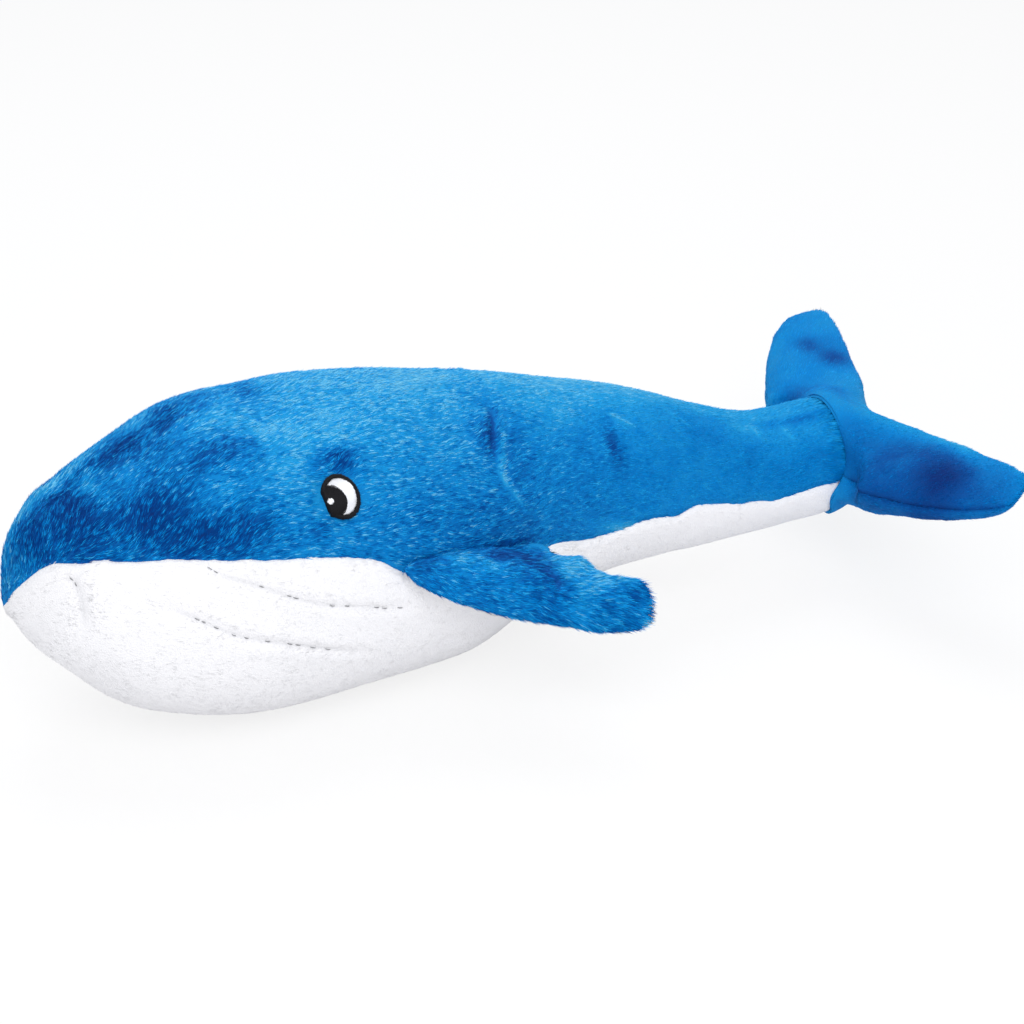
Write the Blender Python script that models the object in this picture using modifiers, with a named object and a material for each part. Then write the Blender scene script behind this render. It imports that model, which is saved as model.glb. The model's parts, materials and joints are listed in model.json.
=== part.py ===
"""Plush whale: sewn plush panels over loose filling, flapping flippers and flukes, embroidered eyes.

Frame: origin at the middle of the flat it rests on, +X towards the tail, +Z up, its left at -Y.
"""

import math

import bmesh
import bpy
import numpy as np
from mathutils import Matrix, Vector

# Body: one bag, nearly round in section, from the snout to the round end of the tail stock
BODY_LENGTH = 0.422
BODY_RADIUS = 0.075
SNOUT_HEIGHT = 0.076
TAIL_RADIUS = 0.030
TAIL_HEIGHT = 0.060
REST_DISTANCE = 0.160
BELLY_SQUARENESS = 0.25

# The toy lies bent a little to its left, behind the flippers
BEND_START = 0.205
BEND_LENGTH = 0.100
BEND_ANGLE = math.radians(10.8)

# Sewn plush, and the gaps between touching pieces
PLUSH_THICKNESS = 0.004
LIMB_PLUSH_THICKNESS = 0.003
LAYER_GAP = 0.0003
SEAM_SETBACK = 0.0009
SEAM_DEPTH = 0.0012
SEAM_GAP = 0.0006

# Flippers
FLIPPER_FRONT = 0.158
FLIPPER_ROOT = 0.0756
FLIPPER_REACH = 0.0725
FLIPPER_DROP = 0.0225
FLIPPER_THICKNESS = 0.019
FLIPPER_ROOT_THICKNESS = 0.0055
FLIPPER_FRONT_ANGLE = math.radians(80)
FLIPPER_REAR_ANGLE = math.radians(86)
FLIPPER_SEAT_GAP = 0.0004

# Flukes: one pad with two lobes, in a plane that rises towards the tips
FLUKE_HALF_WIDTH = 0.121
FLUKE_LENGTH = 0.066
FLUKE_THICKNESS = 0.027
FLUKE_TILT = math.radians(27)
FLUKE_PLANE_DROP = 0.0012
FLUKE_SEAT_GAP = 0.0006
FLUKE_SWING = math.radians(18)
COLLAR_CLEARANCE = 0.0020

# Embroidered eyes
EYE_DISTANCE = 0.1373
EYE_ANGLE = math.radians(51.5)
EYE_SLANT = math.radians(-5)
EYE_HALF_WIDTH = 0.0100
EYE_HALF_HEIGHT = 0.0112
EYE_OUTLINE_WIDTH = 0.0014
EYE_FLAT_DISTANCE = 0.0078
EYE_HEIGHT = 0.0009
WHITE_LEAST_WIDTH = 0.0005
PUPIL_HALF_WIDTH = 0.0048
PUPIL_HALF_HEIGHT = 0.0061
PUPIL_FORWARD = 0.0022
PUPIL_DROP = 0.0009
GLINT_RADIUS = 0.0016
GLINT_FORWARD = 0.0031
GLINT_DROP = 0.0003
STITCH_GAP = 0.0005

OVERRUN = 0.006

# Counts
UPPER_SPANS = 3
LOWER_SPANS = 3
CAGE_LEVELS = 1
OUTLINE_POINTS = 32

# Body stations behind the snout: distance along BODY_LENGTH, radius and underside height as shares of
# BODY_RADIUS, and the side seam's angle down from the back as a share of a half turn
BODY_SHARES = (
    (0.0044, 0.120, 0.893, 0.360),
    (0.0216, 0.350, 0.705, 0.300),
    (0.0471, 0.527, 0.545, 0.278),
    (0.0903, 0.704, 0.300, 0.300),
    (0.1472, 0.853, 0.133, 0.330),
    (0.2178, 0.973, 0.035, 0.372),
    (0.3031, 1.000, -0.0045, 0.412),
    (0.3934, 0.987, -0.0067, 0.450),
    (0.5130, 0.920, -0.0045, 0.486),
    (0.5886, 0.803, 0.145, 0.508),
    (0.6681, 0.700, 0.245, 0.540),
    (0.7630, 0.600, 0.310, 0.540),
    (0.8536, 0.487, 0.332, 0.525),
    (0.9242, 0.420, 0.355, 0.540),
    (0.9630, 0.407, 0.381, 0.550),
)
TAIL_SEAM_SHARE = 0.560

# How much of BELLY_SQUARENESS each of those stations has, where the underside settles on what it rests on
BELLY_SHARES = (0, 0, 0.20, 0.50, 0.80, 1, 1, 0.90, 0.50, 0.20, 0, 0, 0, 0, 0)

# Rings of the round tail end: distance behind its centre and radius, as shares of TAIL_RADIUS
DOME_SHARES = ((0.0, 1.0), (0.45, 0.893), (0.78, 0.626), (0.95, 0.312))

# Flipper sections from root to tip: reach share, leading and trailing edge along the hinge as shares of
# half the root, their heights as shares of FLIPPER_DROP, and the thickness share
FLIPPER_SHARES = (
    (0.000, -1.000, 1.000, 0.000, 0.000, 0.00),
    (0.183, -0.683, 1.080, -0.520, 0.050, 0.90),
    (0.410, -0.175, 1.093, -0.796, 0.040, 1.00),
    (0.595, 0.275, 1.145, -0.880, 0.018, 0.95),
    (0.775, 0.700, 1.250, -0.940, -0.020, 0.84),
    (0.910, 1.070, 1.335, -0.900, -0.150, 0.62),
)
FLIPPER_TIP_SHARES = (1.000, 1.265, -0.620)

# Fluke sections from the middle to a tip: span share, leading and trailing edge as shares of FLUKE_LENGTH,
# thickness share, share of it above the edge seam, rise of the seam as a share of FLUKE_PLANE_DROP, and
# layers of plush
FLUKE_SHARES = (
    (0.000, 0.050, 0.640, 2.20, 0.50, 0.70, 3),
    (0.265, -0.030, 0.735, 1.45, 0.36, 0.35, 2),
    (0.463, 0.020, 0.842, 1.05, 0.41, 0.00, 1),
    (0.678, 0.200, 0.950, 0.82, 0.42, 0.00, 1),
    (0.860, 0.420, 1.005, 0.58, 0.44, 0.00, 1),
    (0.950, 0.575, 0.945, 0.38, 0.46, 0.00, 1),
)
FLUKE_TIP_SHARES = (1.000, 0.760)

# Where the fullest points of a pad's section lie along its chord, and how full they are there
SECTION_SHARES = ((0.28, 1.00), (0.70, 0.72))

# Share of a limb's thickness above its edge seam, how far a flipper's rounded root stands in front of its
# hinge, the least hollow a section keeps, and how far the hollow reaches beyond its end sections
FLIPPER_TOP_SHARE = 0.66
ROOT_ROUND_SHARE = 0.23
LEAST_HOLLOW_SHARE = 0.34
HOLLOW_END_SHARE = 0.30

BLUE = (0.009, 0.196, 0.584)
WHITE = (0.890, 0.890, 0.880)
BLACK_THREAD = (0.010, 0.010, 0.013)
FIBRE = (0.850, 0.850, 0.830)

GUIDES = "guides"
PARTS = "plush_whale"


def empty_scene():
    for thing in list(bpy.data.objects):
        bpy.data.objects.remove(thing, do_unlink=True)
    for name in (PARTS, GUIDES):
        collection = bpy.data.collections.get(name) or bpy.data.collections.new(name)
        if collection.name not in bpy.context.scene.collection.children:
            bpy.context.scene.collection.children.link(collection)


def material(name, colour, roughness):
    made = bpy.data.materials.get(name)
    if made:
        return made
    made = bpy.data.materials.new(name)
    made.use_nodes = True
    surface = made.node_tree.nodes["Principled BSDF"]
    surface.inputs["Base Color"].default_value = (*colour, 1)
    surface.inputs["Roughness"].default_value = roughness
    surface.inputs["Metallic"].default_value = 0
    made.diffuse_color = (*colour, 1)
    return made


def add_object(name, mesh, collection):
    made = bpy.data.objects.new(name, mesh)
    bpy.data.collections[collection].objects.link(made)
    if collection == GUIDES:
        made.hide_render = True
        made.display_type = "WIRE"
    return made


def skin_mesh(guide):
    """A guide's finished surface, with warped faces all split the same way to keep layers parallel."""
    bpy.context.view_layer.update()
    mesh = bpy.data.meshes.new_from_object(guide.evaluated_get(bpy.context.evaluated_depsgraph_get()))
    bpy.data.objects.remove(guide, do_unlink=True)
    form = bmesh.new()
    form.from_mesh(mesh)
    bmesh.ops.triangulate(form, faces=form.faces, quad_method="FIXED")
    form.to_mesh(mesh)
    form.free()
    return mesh


def cage_weights(count, closed):
    """Matrix that turns the points a smooth surface should pass through into the points of its cage."""
    smooth = np.eye(count) * 4
    for row in range(count):
        for step in (-1, 1):
            if closed or 0 <= row + step < count:
                smooth[row, (row + step) % count] += 1
    if not closed:
        smooth[0] = smooth[-1] = 0
        smooth[0, 0] = smooth[-1, -1] = 6
    return np.linalg.inv(smooth / 6)


def closed_form(name, start, rings, end, panel_of):
    """Smooth closed form through rings of points and a point at each end, in the guides collection.

    panel_of(ring, side) gives the material index of each cage face.
    """
    rings = np.array(rings)
    count, around = rings.shape[:2]
    wanted = np.concatenate([np.repeat([[start]], around, 1), rings, np.repeat([[end]], around, 1)])
    along = cage_weights(count + 2, False)
    cage = np.einsum("ij,jkc->ikc", along, wanted)[1:-1]
    cage = np.einsum("kl,ilc->ikc", cage_weights(around, True), cage)
    form = bmesh.new()
    first = form.verts.new(start)
    grid = [[form.verts.new(point) for point in ring] for ring in cage]
    last = form.verts.new(end)
    for side in range(around):
        beside = (side + 1) % around
        face = form.faces.new((first, grid[0][beside], grid[0][side]))
        face.material_index = panel_of(-1, side)
        for ring in range(count - 1):
            near, far = grid[ring], grid[ring + 1]
            face = form.faces.new((near[side], near[beside], far[beside], far[side]))
            face.material_index = panel_of(ring, side)
        face = form.faces.new((last, grid[-1][side], grid[-1][beside]))
        face.material_index = panel_of(count - 1, side)
    bmesh.ops.recalc_face_normals(form, faces=form.faces)
    mesh = bpy.data.meshes.new(name)
    form.to_mesh(mesh)
    form.free()
    mesh.shade_smooth()
    made = add_object(name, mesh, GUIDES)
    smooth = made.modifiers.new("smooth form", "SUBSURF")
    smooth.levels = smooth.render_levels = CAGE_LEVELS
    return made


def bend_heading(distance):
    """How far the body has turned to its left at a distance behind the snout."""
    return BEND_ANGLE * min(max((distance - BEND_START) / BEND_LENGTH, 0), 1)


def bent(point):
    """Carries a point of the straight whale to where the bend behind the flippers puts it."""
    x, y, z = point
    heading = bend_heading(x)
    radius = BEND_LENGTH / BEND_ANGLE
    past = max(x - BEND_START - BEND_LENGTH, 0)
    before = min(x - BEND_START, 0)
    middle_x = BEND_START + before + radius * math.sin(heading) + past * math.cos(heading)
    middle_y = -radius * (1 - math.cos(heading)) - past * math.sin(heading)
    return middle_x + y * math.sin(heading), middle_y + y * math.cos(heading), z


def body_sections():
    """(distance, radius, height of the middle, seam angle, squareness of the underside) of each body ring."""
    sections = []
    for (along, radius, under, seam), settled in zip(BODY_SHARES, BELLY_SHARES):
        radius *= BODY_RADIUS
        middle = under * BODY_RADIUS + radius
        sections.append((along * BODY_LENGTH, radius, middle, seam * math.pi, settled * BELLY_SQUARENESS))
    for behind, radius in DOME_SHARES:
        place = BODY_LENGTH + behind * TAIL_RADIUS
        sections.append((place, radius * TAIL_RADIUS, TAIL_HEIGHT, TAIL_SEAM_SHARE * math.pi, 0))
    return sections


def belly_reach(angle, squareness):
    """Share of a ring's radius at an angle down from the back: its lower half is a little squarer."""
    across, down = abs(math.sin(angle)), -math.cos(angle)
    if down <= 0:
        return 1
    power = 2 + squareness
    return (across ** power + down ** power) ** (-1 / power)


def ring_angles(seam):
    """Angles down from the back, left side first: the side seams always fall on a ring's points."""
    left = [seam * step / UPPER_SPANS for step in range(UPPER_SPANS)]
    left += [seam + (math.pi - seam) * step / LOWER_SPANS for step in range(LOWER_SPANS)]
    return left + [math.pi] + [-angle for angle in reversed(left[1:])]


def body_at(distance):
    """Radius and height of the middle of the straight body at a distance behind the snout."""
    sections = body_sections()
    places = [section[0] for section in sections]
    radius = np.interp(distance, places, [section[1] for section in sections])
    height = np.interp(distance, places, [section[2] for section in sections])
    return float(radius), float(height)


def skin_point(distance, angle, left=True):
    """Point on the body's upper surface, the angle counted down from the back, and the way outwards."""
    radius, height = body_at(distance)
    side = -1 if left else 1
    outward = Vector((0, side * math.sin(angle), math.cos(angle)))
    place = Vector((distance, 0, height)) + outward * radius
    return Vector(bent(place)), Matrix.Rotation(-bend_heading(distance), 3, "Z") @ outward


LEFT_PANEL, RIGHT_PANEL, BELLY_PANEL = range(3)


def body_form():
    """The whole outside of the body, with the seams drawn in and each panel's faces marked."""
    rings = []
    for distance, radius, height, seam, squareness in body_sections():
        ring = []
        for angle in ring_angles(seam):
            reach = radius * belly_reach(angle, squareness)
            ring.append(bent((distance, -reach * math.sin(angle), height + reach * math.cos(angle))))
        rings.append(ring)
    around = 2 * (UPPER_SPANS + LOWER_SPANS)

    def panel_of(ring, side):
        if ring in (-1, len(rings) - 1) or UPPER_SPANS <= side < around - UPPER_SPANS:
            return BELLY_PANEL
        return LEFT_PANEL if side < UPPER_SPANS else RIGHT_PANEL

    snout = bent((0, 0, SNOUT_HEIGHT))
    tail = bent((BODY_LENGTH + TAIL_RADIUS, 0, TAIL_HEIGHT))
    guide = closed_form("body_form", snout, rings, tail, panel_of)
    return draw_in_seams(skin_mesh(guide))


def draw_in_seams(mesh):
    """Sinks the edges where two panels meet, as a sewn seam sinks."""
    form = bmesh.new()
    form.from_mesh(mesh)
    form.normal_update()
    dome_start = Vector(bent((BODY_LENGTH - TAIL_RADIUS, 0, 0))).x
    for vert in form.verts:
        if len({face.material_index for face in vert.link_faces}) > 1 and vert.co.x < dome_start:
            vert.co -= vert.normal * SEAM_DEPTH
    form.to_mesh(mesh)
    form.free()
    mesh.name = "body_form"
    return mesh


def body_panel(name, skin, index, finish):
    """One plush panel: its faces of the body's skin, set back from the seams and thickened inwards."""
    form = bmesh.new()
    form.from_mesh(skin)
    away = [face for face in form.faces if face.material_index != index]
    bmesh.ops.delete(form, geom=away, context="FACES")
    form.normal_update()
    moves = {}
    for vert in form.verts:
        if not vert.is_boundary:
            continue
        rim = [edge.other_vert(vert).co - vert.co for edge in vert.link_edges if edge.is_boundary]
        tangent = (rim[0].normalized() - rim[1].normalized()).normalized()
        inward = Vector()
        for face in vert.link_faces:
            inward += face.calc_center_median() - vert.co
        inward -= tangent * inward.dot(tangent)
        moves[vert] = inward.normalized() * SEAM_SETBACK
    for vert, move in moves.items():
        vert.co += move
    mesh = bpy.data.meshes.new(name)
    form.to_mesh(mesh)
    form.free()
    mesh.materials.clear()
    mesh.materials.append(finish)
    for face in mesh.polygons:
        face.material_index = 0
    mesh.shade_smooth()
    made = add_object(name, mesh, PARTS)
    shell = made.modifiers.new("plush", "SOLIDIFY")
    shell.thickness = PLUSH_THICKNESS
    shell.offset = -1
    return made


def moved_skin(name, skin, distance, collection):
    """The body's skin moved along its normals: inwards for the filling, outwards for a cutter."""
    made = add_object(name, skin.copy(), collection)
    made.data.materials.clear()
    shift = made.modifiers.new("offset", "DISPLACE")
    shift.mid_level = 0
    shift.strength = distance
    return made


def cut(thing, cutter, operation="DIFFERENCE"):
    boolean = thing.modifiers.new(operation.lower() + " " + cutter.name, "BOOLEAN")
    boolean.operation = operation
    boolean.object = cutter
    boolean.solver = "EXACT"


def box_guide(name, low, high, frame=None):
    """Box between two corners, in a frame if one is given, for cutting."""
    form = bmesh.new()
    bmesh.ops.create_cube(form, size=1)
    middle = (Vector(low) + Vector(high)) / 2
    size = Vector(high) - Vector(low)
    placed = Matrix.Translation(middle) @ Matrix.Diagonal((*size, 1))
    bmesh.ops.transform(form, matrix=placed, verts=form.verts)
    if frame:
        bmesh.ops.transform(form, matrix=frame, verts=form.verts)
    mesh = bpy.data.meshes.new(name)
    form.to_mesh(mesh)
    form.free()
    return add_object(name, mesh, GUIDES)


def make_body(skin):
    blue = material("blue plush", BLUE, 0.85)
    white = material("white plush", WHITE, 0.9)
    body_panel("left_side_panel", skin, LEFT_PANEL, blue)
    body_panel("right_side_panel", skin, RIGHT_PANEL, blue)
    belly = body_panel("belly_panel", skin, BELLY_PANEL, white)
    reach = BODY_LENGTH + TAIL_RADIUS + OVERRUN
    floor = box_guide("floor_cut", (-OVERRUN, -BODY_RADIUS, -BODY_RADIUS), (reach, BODY_RADIUS, 0))
    cut(belly, floor)
    filling = moved_skin("body_filling", skin, -PLUSH_THICKNESS - 2 * LAYER_GAP, PARTS)
    filling.data.materials.append(material("fibre filling", FIBRE, 0.95))


class Section:
    """Lens section of a stuffed limb: its seam edges, thickness, way up, share on top and plush."""

    def __init__(self, edges, thickness, up, top_share, plush=LIMB_PLUSH_THICKNESS):
        self.lead, self.trail = edges
        self.thickness = thickness
        self.up = up
        self.top_share = top_share
        self.plush = plush

    def middle(self):
        return self.lead.lerp(self.trail, 1 / 2)

    def hollow(self, clearance):
        """The section inside the plush, drawn in by a further clearance for the filling."""
        along = (self.trail - self.lead).normalized()
        side = along * (self.plush + LIMB_PLUSH_THICKNESS + clearance)
        thickness = max(self.thickness - 2 * self.plush, self.thickness * LEAST_HOLLOW_SHARE)
        edges = (self.lead + side, self.trail - side)
        return Section(edges, thickness - 2 * clearance, self.up, self.top_share)

    def ring(self):
        """Leading edge, two points over the top, trailing edge and two points underneath."""
        chord = self.trail - self.lead
        top, under = [], []
        for place, full in SECTION_SHARES:
            height = self.thickness * full
            top.append(self.lead + chord * place + self.up * (height * self.top_share))
            under.insert(0, self.lead + chord * place - self.up * (height * (1 - self.top_share)))
        return [self.lead, *top, self.trail, *under]


TOP_PANEL, UNDER_PANEL = range(2)


def pad_form(name, sections, start, end):
    """Closed pad through the sections and a point beyond each end, its two panels' faces marked."""
    rings = [[tuple(point) for point in section.ring()] for section in sections]
    top_sides = len(SECTION_SHARES) + 1
    guide = closed_form(name, tuple(start), rings, tuple(end),
                        lambda ring, side: TOP_PANEL if side < top_sides else UNDER_PANEL)
    mesh = skin_mesh(guide)
    mesh.name = name
    return mesh


def hollow_form(name, sections, start, end, clearance):
    """The pad's hollow, a clearance smaller all round where it is the filling."""
    inner = [section.hollow(clearance) for section in sections]
    ends = []
    for section, beyond in ((inner[0], start), (inner[-1], end)):
        reach = beyond - section.middle()
        ends.append(section.middle() + reach * HOLLOW_END_SHARE - reach.normalized() * clearance)
    return pad_form(name, inner, ends[0], ends[1])


def limb_panel(name, outer, inner, index, lift):
    """Plush panel between a pad's outside and its hollow, its rim lifted clear of the other panel's."""
    form = bmesh.new()
    skins = []
    for mesh in (outer, inner):
        skins.append([form.verts.new(vert.co) for vert in mesh.vertices])
    used = {}
    for face in outer.polygons:
        if face.material_index != index:
            continue
        corners = list(face.vertices)
        form.faces.new([skins[0][corner] for corner in corners])
        form.faces.new([skins[1][corner] for corner in reversed(corners)])
        for near, far in zip(corners, corners[1:] + corners[:1]):
            used[(near, far)] = True
    rim = [edge for edge in used if (edge[1], edge[0]) not in used]
    for near, far in rim:
        form.faces.new((skins[0][far], skins[0][near], skins[1][near], skins[1][far]))
        for skin in skins:
            skin[near].co += lift
    loose = [vert for vert in form.verts if not vert.link_faces]
    bmesh.ops.delete(form, geom=loose, context="VERTS")
    bmesh.ops.recalc_face_normals(form, faces=form.faces)
    mesh = bpy.data.meshes.new(name)
    form.to_mesh(mesh)
    form.free()
    mesh.shade_smooth()
    return add_object(name, mesh, PARTS)


def stuffed_limb(name, sections, start, end, finishes, hinge, cutters=()):
    """Top panel, under panel and filling of one limb, parented to its hinge."""
    outer = pad_form(name + "_form", sections, start, end)
    inner = hollow_form(name + "_hollow", sections, start, end, 0)
    lift = sections[len(sections) // 2].up * (SEAM_GAP / 2)
    top = limb_panel(name + "_top_panel", outer, inner, TOP_PANEL, lift)
    under = limb_panel(name + "_under_panel", outer, inner, UNDER_PANEL, -lift)
    filling_mesh = hollow_form(name + "_filling", sections, start, end, LAYER_GAP)
    filling = add_object(name + "_filling", filling_mesh, PARTS)
    for thing, finish in zip((top, under, filling), (*finishes, material("fibre filling", FIBRE, 0.95))):
        for cutter in cutters:
            cut(thing, cutter)
        thing.data.materials.clear()
        thing.data.materials.append(finish)
        for face in thing.data.polygons:
            face.material_index = 0
        thing.data.shade_smooth()
        thing.data.transform(hinge.matrix_world.inverted())
        thing.parent = hinge


def hinge_empty(name, place, across, upward):
    """Empty on a joint's axis: its X lies along the axis, its Z as near to upward as it can."""
    axis = across.normalized()
    up = (upward - axis * upward.dot(axis)).normalized()
    frame = Matrix((axis, up.cross(axis), up)).transposed().to_4x4()
    made = bpy.data.objects.new(name, None)
    bpy.data.collections[PARTS].objects.link(made)
    made.matrix_world = Matrix.Translation(place) @ frame
    bpy.context.view_layer.update()
    return made


def flipper_hinge_line(left):
    """Front and rear end of the root seam's axis, held off the body's fullest point, and the way outwards."""
    front, front_out = skin_point(FLIPPER_FRONT, FLIPPER_FRONT_ANGLE, left)
    rear, rear_out = skin_point(FLIPPER_FRONT + FLIPPER_ROOT, FLIPPER_REAR_ANGLE, left)
    axis = (rear - front).normalized()
    outward = front_out + rear_out
    outward = (outward - axis * outward.dot(axis)).normalized()
    fullest = 0
    steps = 2 * OUTLINE_POINTS
    for step in range(steps + 1):
        share = step / steps
        angle = FLIPPER_FRONT_ANGLE + (FLIPPER_REAR_ANGLE - FLIPPER_FRONT_ANGLE) * share
        point, _ = skin_point(FLIPPER_FRONT + FLIPPER_ROOT * share, angle, left)
        fullest = max(fullest, (point - front).dot(outward))
    offset = outward * (fullest + FLIPPER_ROOT_THICKNESS * ROOT_ROUND_SHARE + FLIPPER_SEAT_GAP)
    return front + offset, rear + offset, outward


def make_flipper(left, finishes):
    name = "left_flipper" if left else "right_flipper"
    front, rear, outward = flipper_hinge_line(left)
    middle = (front + rear) / 2
    axis = (rear - front).normalized()
    up = axis.cross(outward)
    if up.z < 0:
        up = -up
    half_root = (rear - front).length / 2

    def place(reach, along, height):
        across = outward * (reach * FLIPPER_REACH)
        return middle + across + axis * (along * half_root) + up * (height * FLIPPER_DROP)

    sections = []
    for reach, lead_along, trail_along, lead_height, trail_height, full in FLIPPER_SHARES:
        lead = place(reach, lead_along, lead_height)
        trail = place(reach, trail_along, trail_height)
        chord = (trail - lead).normalized()
        section_up = (up - chord * up.dot(chord)).normalized()
        thickness = max(full * FLIPPER_THICKNESS, FLIPPER_ROOT_THICKNESS)
        sections.append(Section((lead, trail), thickness, section_up, FLIPPER_TOP_SHARE))
    tip = place(*FLIPPER_TIP_SHARES)
    start = middle - outward * (FLIPPER_ROOT_THICKNESS / 2)
    hinge = hinge_empty(name + "_hinge", middle, axis, up)
    stuffed_limb(name, sections, start, tip, finishes, hinge)


def tail_frame():
    """Frame at the centre of the round tail end: X aft, Y to the whale's right, Z up."""
    centre = Vector(bent((BODY_LENGTH, 0, TAIL_HEIGHT)))
    aft = Vector(bent((BODY_LENGTH + TAIL_RADIUS, 0, TAIL_HEIGHT))) - centre
    aft.normalize()
    up = Vector((0, 0, 1))
    return Matrix.Translation(centre) @ Matrix((aft, up.cross(aft), up)).transposed().to_4x4()


def tail_cutters(frame):
    """The round tail end with its running gap, and what of the flukes' collar would stop its swing."""
    form = bmesh.new()
    radius = TAIL_RADIUS + FLUKE_SEAT_GAP
    around, down = OUTLINE_POINTS, OUTLINE_POINTS // 2
    bmesh.ops.create_uvsphere(form, u_segments=around, v_segments=down, radius=radius)
    bmesh.ops.rotate(form, matrix=Matrix.Rotation(math.pi / 2, 3, "X"), verts=form.verts)
    bmesh.ops.transform(form, matrix=frame, verts=form.verts)
    mesh = bpy.data.meshes.new("tail_seat")
    form.to_mesh(mesh)
    form.free()
    seat = add_object("tail_seat", mesh, GUIDES)
    side = radius + COLLAR_CLEARANCE
    rim = radius * math.sin(FLUKE_SWING) + FLUKE_SEAT_GAP
    low, high = (-2 * TAIL_RADIUS, -side, -2 * TAIL_RADIUS), (rim, side, 2 * TAIL_RADIUS)
    return seat, box_guide("collar_cut", low, high, frame)


def make_flukes(finishes):
    frame = tail_frame()
    plane = frame @ Matrix.Rotation(-FLUKE_TILT, 4, "Y") @ Matrix.Translation((0, 0, -FLUKE_PLANE_DROP))
    up = (plane.to_3x3() @ Vector((0, 0, 1))).normalized()
    halves = [(-1, section) for section in reversed(FLUKE_SHARES[1:])]
    halves += [(1, section) for section in FLUKE_SHARES]
    sections = []
    for side, (span, lead, trail, full, top_share, rise, layers) in halves:
        across = side * span * FLUKE_HALF_WIDTH
        height = rise * FLUKE_PLANE_DROP
        edges = [plane @ Vector((edge * FLUKE_LENGTH, across, height)) for edge in (lead, trail)]
        plush = LIMB_PLUSH_THICKNESS * layers
        sections.append(Section(edges, full * FLUKE_THICKNESS, up, top_share, plush))
    tips = []
    for side in (-1, 1):
        tip_span, tip_along = FLUKE_TIP_SHARES
        tips.append(plane @ Vector((tip_along * FLUKE_LENGTH, side * tip_span * FLUKE_HALF_WIDTH, 0)))
    across = frame.to_3x3() @ Vector((0, 1, 0))
    hinge = hinge_empty("fluke_hinge", frame.translation, across, Vector((0, 0, 1)))
    stuffed_limb("fluke", sections, tips[0], tips[1], finishes, hinge, tail_cutters(frame))


def outline_points(half_width, half_height, flat_distance=None, centre=(0, 0)):
    """Oval outline, with the front cut off straight at flat_distance where that is given."""
    points = []
    for step in range(OUTLINE_POINTS):
        angle = 2 * math.pi * step / OUTLINE_POINTS
        forward, rise = half_width * math.cos(angle), half_height * math.sin(angle)
        if flat_distance and forward > flat_distance:
            forward, rise = flat_distance, rise * flat_distance / forward
        points.append((centre[0] + forward, centre[1] + rise))
    return points


def patch(name, outer, inner, base, thickness, eye, finish):
    """Patch of stitching between two outlines, or within one, laid on a form and thickened outwards."""
    frame, rise = eye
    form = bmesh.new()
    rim = [form.verts.new((x, y * rise, 0)) for x, y in outer]
    hub = [form.verts.new((x, y * rise, 0)) for x, y in inner]
    for step in range(len(rim)):
        beside = (step + 1) % len(rim)
        if len(hub) == 1:
            form.faces.new((rim[step], rim[beside], hub[0]))
        else:
            form.faces.new((rim[step], rim[beside], hub[beside], hub[step]))
    if rise < 0:
        bmesh.ops.reverse_faces(form, faces=form.faces)
    mesh = bpy.data.meshes.new(name)
    form.to_mesh(mesh)
    form.free()
    mesh.materials.append(finish)
    made = add_object(name, mesh, PARTS)
    made.matrix_world = frame
    laid = made.modifiers.new("laid on the cheek", "SHRINKWRAP")
    laid.wrap_method = "PROJECT"
    laid.use_project_z = True
    laid.use_positive_direction = laid.use_negative_direction = True
    laid.target = base
    stitched = made.modifiers.new("stitching", "SOLIDIFY")
    stitched.thickness = thickness
    stitched.offset = 1
    return made


def eye_frame(left):
    """Frame on the cheek, X forward along the eye's slant and Z outwards, and the sign of its Y upwards."""
    place, outward = skin_point(EYE_DISTANCE, EYE_ANGLE, left)
    behind, _ = skin_point(EYE_DISTANCE + EYE_HALF_WIDTH, EYE_ANGLE, left)
    ahead, _ = skin_point(EYE_DISTANCE - EYE_HALF_WIDTH, EYE_ANGLE, left)
    forward = (ahead - behind).normalized()
    outward = (outward - forward * outward.dot(forward)).normalized()
    side_up = outward.cross(forward)
    rise = 1 if side_up.z > 0 else -1
    slanted = forward * math.cos(EYE_SLANT) + side_up * (rise * math.sin(EYE_SLANT))
    axes = Matrix((slanted, outward.cross(slanted), outward)).transposed().to_4x4()
    return Matrix.Translation(place) @ axes, rise


def make_eye(left, cheek, pupil_top):
    side = ("left" if left else "right") + "_eye_"
    frame = eye_frame(left)
    black = material("black thread", BLACK_THREAD, 0.55)
    white = material("white thread", WHITE, 0.5)
    wide, tall = EYE_HALF_WIDTH, EYE_HALF_HEIGHT
    outer = outline_points(wide, tall, EYE_FLAT_DISTANCE)
    wide, tall, within = (size - EYE_OUTLINE_WIDTH for size in (wide, tall, EYE_FLAT_DISTANCE))
    inner = outline_points(wide, tall, within)
    patch(side + "outline", outer, inner, cheek, EYE_HEIGHT, frame, black)

    white_edge = outline_points(wide - STITCH_GAP, tall - STITCH_GAP, within - STITCH_GAP)
    pupil_at = (PUPIL_FORWARD, -PUPIL_DROP)
    pupil_flat = within - 2 * STITCH_GAP - WHITE_LEAST_WIDTH - PUPIL_FORWARD
    pupil_sizes = (PUPIL_HALF_WIDTH, PUPIL_HALF_HEIGHT, pupil_flat)
    hole = outline_points(*(size + STITCH_GAP for size in pupil_sizes), pupil_at)
    patch(side + "white", white_edge, hole, cheek, EYE_HEIGHT, frame, white)

    disc = outline_points(*pupil_sizes, pupil_at)
    patch(side + "pupil", disc, [pupil_at], cheek, EYE_HEIGHT, frame, black)
    glint_at = (GLINT_FORWARD, -GLINT_DROP)
    dot = outline_points(GLINT_RADIUS, GLINT_RADIUS, None, glint_at)
    patch(side + "glint", dot, [glint_at], pupil_top, EYE_HEIGHT / 2, frame, white)


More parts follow.
